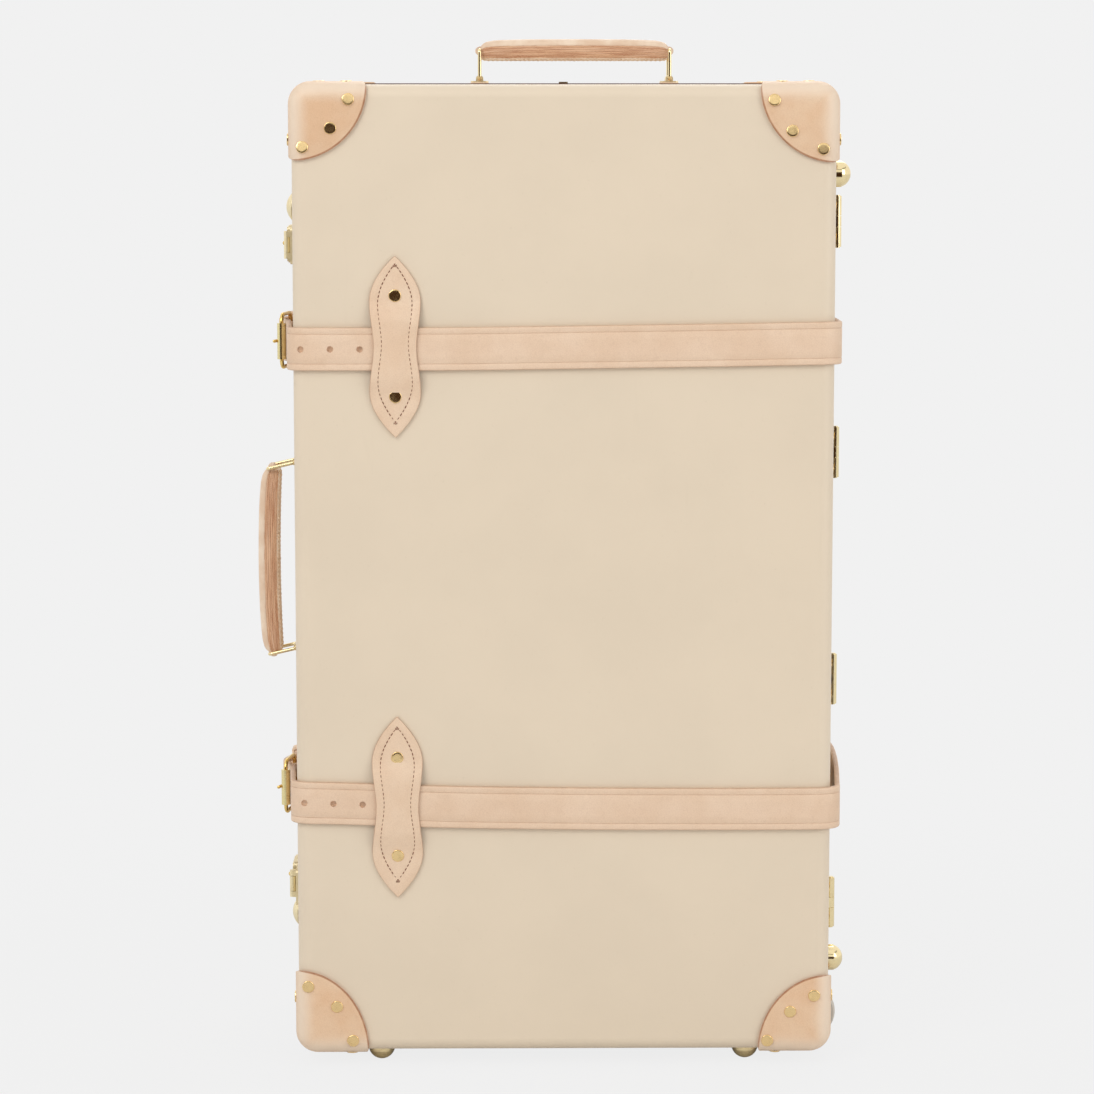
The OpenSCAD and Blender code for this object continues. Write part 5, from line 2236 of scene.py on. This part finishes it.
@dataclass
class Hardware:
    """Brass, wood, lining and wheels that keep their CAD shape, and the small rivets."""

    repeats: Repeats
    bar_inset: float = 16 * MM
    face_depth: float = 10 * MM
    sunk_back: float = 0.15 * MM
    sunk_top: float = 0.5 * MM
    face_rivets: dict[Corner, tuple[Mark, ...]] = field(default_factory=lambda: {
        (-1, 1): ((44.3, 11.3, 0.2), (30.4, 33.4, 0.02), (8.8, 47.9, 0.19)),
        (1, 1): ((49.1, 11.9, 0.21), (35.1, 35.5, 0.15), (11.1, 49.3, 0.17)),
        (-1, -1): ((43.3, 9.5, 0.0), (30.8, 37.2, -0.02), (8.0, 53.5, -0.02)),
        (1, -1): ((49.1, 8.8, 0.0), (31.0, 32.3, -0.02), (12.1, 45.3, -0.02))})

    def wood(self) -> Ash:
        """Ash whose grain follows the bars of the frame."""
        bar = (CASE.top - CASE.bottom) / 2 - self.bar_inset
        return Ash("planed_ash", "ash", paint(214, 180, 132), middle=CASE.middle_z, bar=bar)

    def finishes(self) -> dict[Finish, list[str]]:
        """Finish of every CAD node that stays in view."""
        sides = ("upper", "lower")
        return {
            BOARD: ["base_shell", "lid_shell"],
            self.wood(): ["base_frame", "lid_frame"],
            LINING_CLOTH: ["base_lining", "lid_lining"],
            RIM_BINDING: ["base_binding", "lid_binding"],
            BRIGHT_BRASS: ["base_hinge_leaves", "lid_hinge_leaves", "hinge_pins", "base_feet",
                           "lid_feet", "trim_joiner", "top_loop_left", "top_loop_right",
                           "side_loop_lower", "side_loop_upper"],
            SATIN_BRASS: ["lock_cases", "key_bosses", "handle_brackets", "hasp_plates", "hasp_pins",
                          *(f"{side}_hasp" for side in sides)],
            GOLD_BRASS: ["buckle_frames", *(f"{side}_buckle_prong" for side in sides),
                         *(f"{side}_thumb_slide" for side in sides)],
            PALE_BRASS: [f"{side}_buckle_roller" for side in sides],
            AXLE_STEEL: ["wheel_axles"],
            TREAD_RUBBER: ["front_wheel_tyre", "rear_wheel_tyre"],
            HUB_PLASTIC: ["front_wheel_hub", "rear_wheel_hub", "wheel_housings"],
        }

    def face_shift(self, at: Vector) -> tuple[Vector, float]:
        """Moves and leans a rivet of the lid's face as it was set by hand.

        Args:
            at: Its drawn place.

        Returns:
            The way to its real place and its lean.
        """
        dx, dz = CASE.inset(at)
        if dx < 0 or dz < 0 or at.y > CASE.front + self.face_depth:
            return Vector((0, -self.sunk_back if at.y > CASE.back else 0,
                           -self.sunk_top if at.z > CASE.top else 0)), 0.0
        side = CASE.corner(at)
        near = min(self.face_rivets[side], key=lambda p: dist((p[0] * MM, p[1] * MM), (dx, dz)))
        return Vector((side[0] * (dx - near[0] * MM), 0, side[1] * (dz - near[1] * MM))), near[2]

    def build(self, shop: Workshop) -> None:
        """Dresses the CAD nodes and sets the rivets.

        Args:
            shop: Finishes and places the pieces.
        """
        for finish, names in self.finishes().items():
            for name in names:
                shop.dress(NODES[name], finish)
            LOG.info("%s on %d nodes", finish.name, len(names))
        rows = (
            ("lid_corner_rivets", 4.8, Body.LID, 1), ("base_corner_rivets", 4.8, Body.BASE, 2),
            ("strap_rivets", 4.5, Body.BASE, 3), ("lid_hinge_rivets", 2.5, Body.LID, 4),
            ("base_hinge_rivets", 2.5, Body.BASE, 6),
        )
        for node, radius, body, seed in rows:
            piece = self.repeats.rivets(node.replace("rivets", "rivet_heads"), node, radius * MM, seed,
                                        self.face_shift)
            shop.fit(piece, RIVET_BRASS, body, [node])


# Studio


@dataclass
class Studio:
    """Pale floor, soft lamps and the camera of the photograph."""

    shown: Colour = paint(241, 241, 241)
    dark: Colour = (0.045, 0.02, 0.008)
    room: float = 0.665
    eye: Vector = field(default_factory=lambda: Vector((-41.8, -2863.1, 767.4)) * MM)
    down: float = 7.291
    yaw: float = -0.593
    floor_corners: Row = ((-12, -3.4), (12, -3.4), (12, 20), (-12, 20))
    gloss: float = 1.08
    warm: Colour = (1.0, 0.99, 0.97)
    view: float = 17.55
    lamp_size: float = 1.6
    heart: Vector = field(default_factory=lambda: Vector((0, 0, 0.4)))
    lamps: tuple[tuple[str, Mark, float], ...] = (
        ("key", (-1.7, -2.3, 2.4), 36.5), ("fill", (2.2, -1.8, 1.3), 17), ("back", (0.4, 1.8, 2.3), 15))

    def floor(self) -> None:
        """A wide floor that shows the background's colour and keeps a faint shadow."""
        work = bmesh.new()
        work.faces.new([work.verts.new((x, y, 0)) for x, y in self.floor_corners])
        made = show("studio_floor", write(work, "studio_floor"))
        graph = Graph("studio_floor")
        glossy = graph.ray("Glossy")
        seen = graph.ray("Camera").larger(glossy).larger(graph.ray("Transmission"))
        near = graph.size(graph.place()).rise(1.1, 0.35)
        cloth = graph.node("ShaderNodeBsdfDiffuse", {"Color": (0.8, 0.8, 0.8)})
        across, back, _ = graph.split(graph.place())
        far = glossy * back.rise(-1.2, -1.7) * abs(across).rise(1.6, 1.2)
        glow = graph.node("ShaderNodeEmission", {"Color": graph.tint(far, self.shown, self.dark),
                                                     "Strength": 1.0})
        kept = 0.06 + glossy * 0.9
        bare = graph.node("ShaderNodeMixShader", {0: seen * (1 - near * kept), 1: cloth.outputs[0],
                                                      2: glow.outputs[0]})
        graph.node("ShaderNodeOutputMaterial", {"Surface": bare.outputs[0]})
        made.data.materials.append(graph.material)

    def world(self) -> None:
        """Even light from all round; reflections see softboxes in a dark room."""
        world = bpy.data.worlds.new("studio")
        bpy.context.scene.world = world
        world.use_nodes = True
        graph = Graph("studio_world", world.node_tree)
        seen = graph.ray("Camera").larger(graph.ray("Transmission"))
        aim = graph.node("ShaderNodeTexCoord").outputs["Generated"]
        x, y, z = graph.split(aim)
        boxes = x.rise(-0.7, -0.84).larger(x.rise(0.7, 0.84)).larger(z.rise(0.22, 0.32))
        boxes = boxes * (1 - z.line(0.6, 0.06))
        boxes = boxes.larger(y.rise(0.0, 0.4))
        light = graph.node("ShaderNodeBackground", {"Color": (1.0, 1.0, 1.0), "Strength": self.room})
        walls = graph.tint(boxes, self.dark, self.warm)
        gloss = graph.node("ShaderNodeBackground", {"Color": walls, "Strength": self.gloss})
        shown = graph.node("ShaderNodeBackground", {"Color": self.shown, "Strength": 1.0})
        shiny = graph.node("ShaderNodeMixShader", {0: graph.ray("Glossy"), 1: light.outputs[0],
                                                       2: gloss.outputs[0]})
        last = graph.node("ShaderNodeMixShader", {0: seen, 1: shiny.outputs[0], 2: shown.outputs[0]})
        graph.node("ShaderNodeOutputWorld", {"Surface": last.outputs[0]})

    def lamp(self, name: str, at: Vector, power: float) -> None:
        """A square soft lamp that faces the case.

        Args:
            name: The lamp's name.
            at: Its place.
            power: Its power in watts.
        """
        light = bpy.data.lights.new(name, "AREA")
        light.size = self.lamp_size
        light.energy = power
        made = show(name, light)
        made.location = at
        made.rotation_euler = (self.heart - at).to_track_quat("-Z", "Y").to_euler()

    def camera(self) -> None:
        """The camera of the photograph."""
        lens = bpy.data.cameras.new("photograph")
        lens.sensor_fit = "HORIZONTAL"
        lens.angle = radians(self.view)
        lens.clip_end = 60
        made = show("photograph", lens)
        made.location = self.eye + Vector((CASE.middle_x, 0, 0))
        made.rotation_euler = (radians(90 - self.down), 0, radians(self.yaw))
        bpy.context.scene.camera = made

    def build(self) -> None:
        """Sets up the whole studio."""
        self.camera()
        self.floor()
        self.world()
        for name, at, power in self.lamps:
            self.lamp(name, Vector(at), power)
        bpy.context.scene.view_settings.view_transform = "Standard"


def main() -> None:
    """Builds the suitcase's dress and the studio."""
    logging.basicConfig(level=logging.INFO, format="%(name)s: %(message)s")
    Studio().build()
    shop = Workshop()
    repeats = Repeats()
    LeatherCorners().build(shop)
    straps = [Strap(1), Strap(-1)]
    build_straps(shop, straps)
    build_keepers(shop, repeats, [Keeper(strap) for strap in straps])
    Handles(repeats).build(shop)
    Hardware(repeats).build(shop)
    bpy.data.objects.remove(repeats.thread)
    LOG.info("%d dressed pieces", shop.made)


if __name__ == "__main__":
    main()
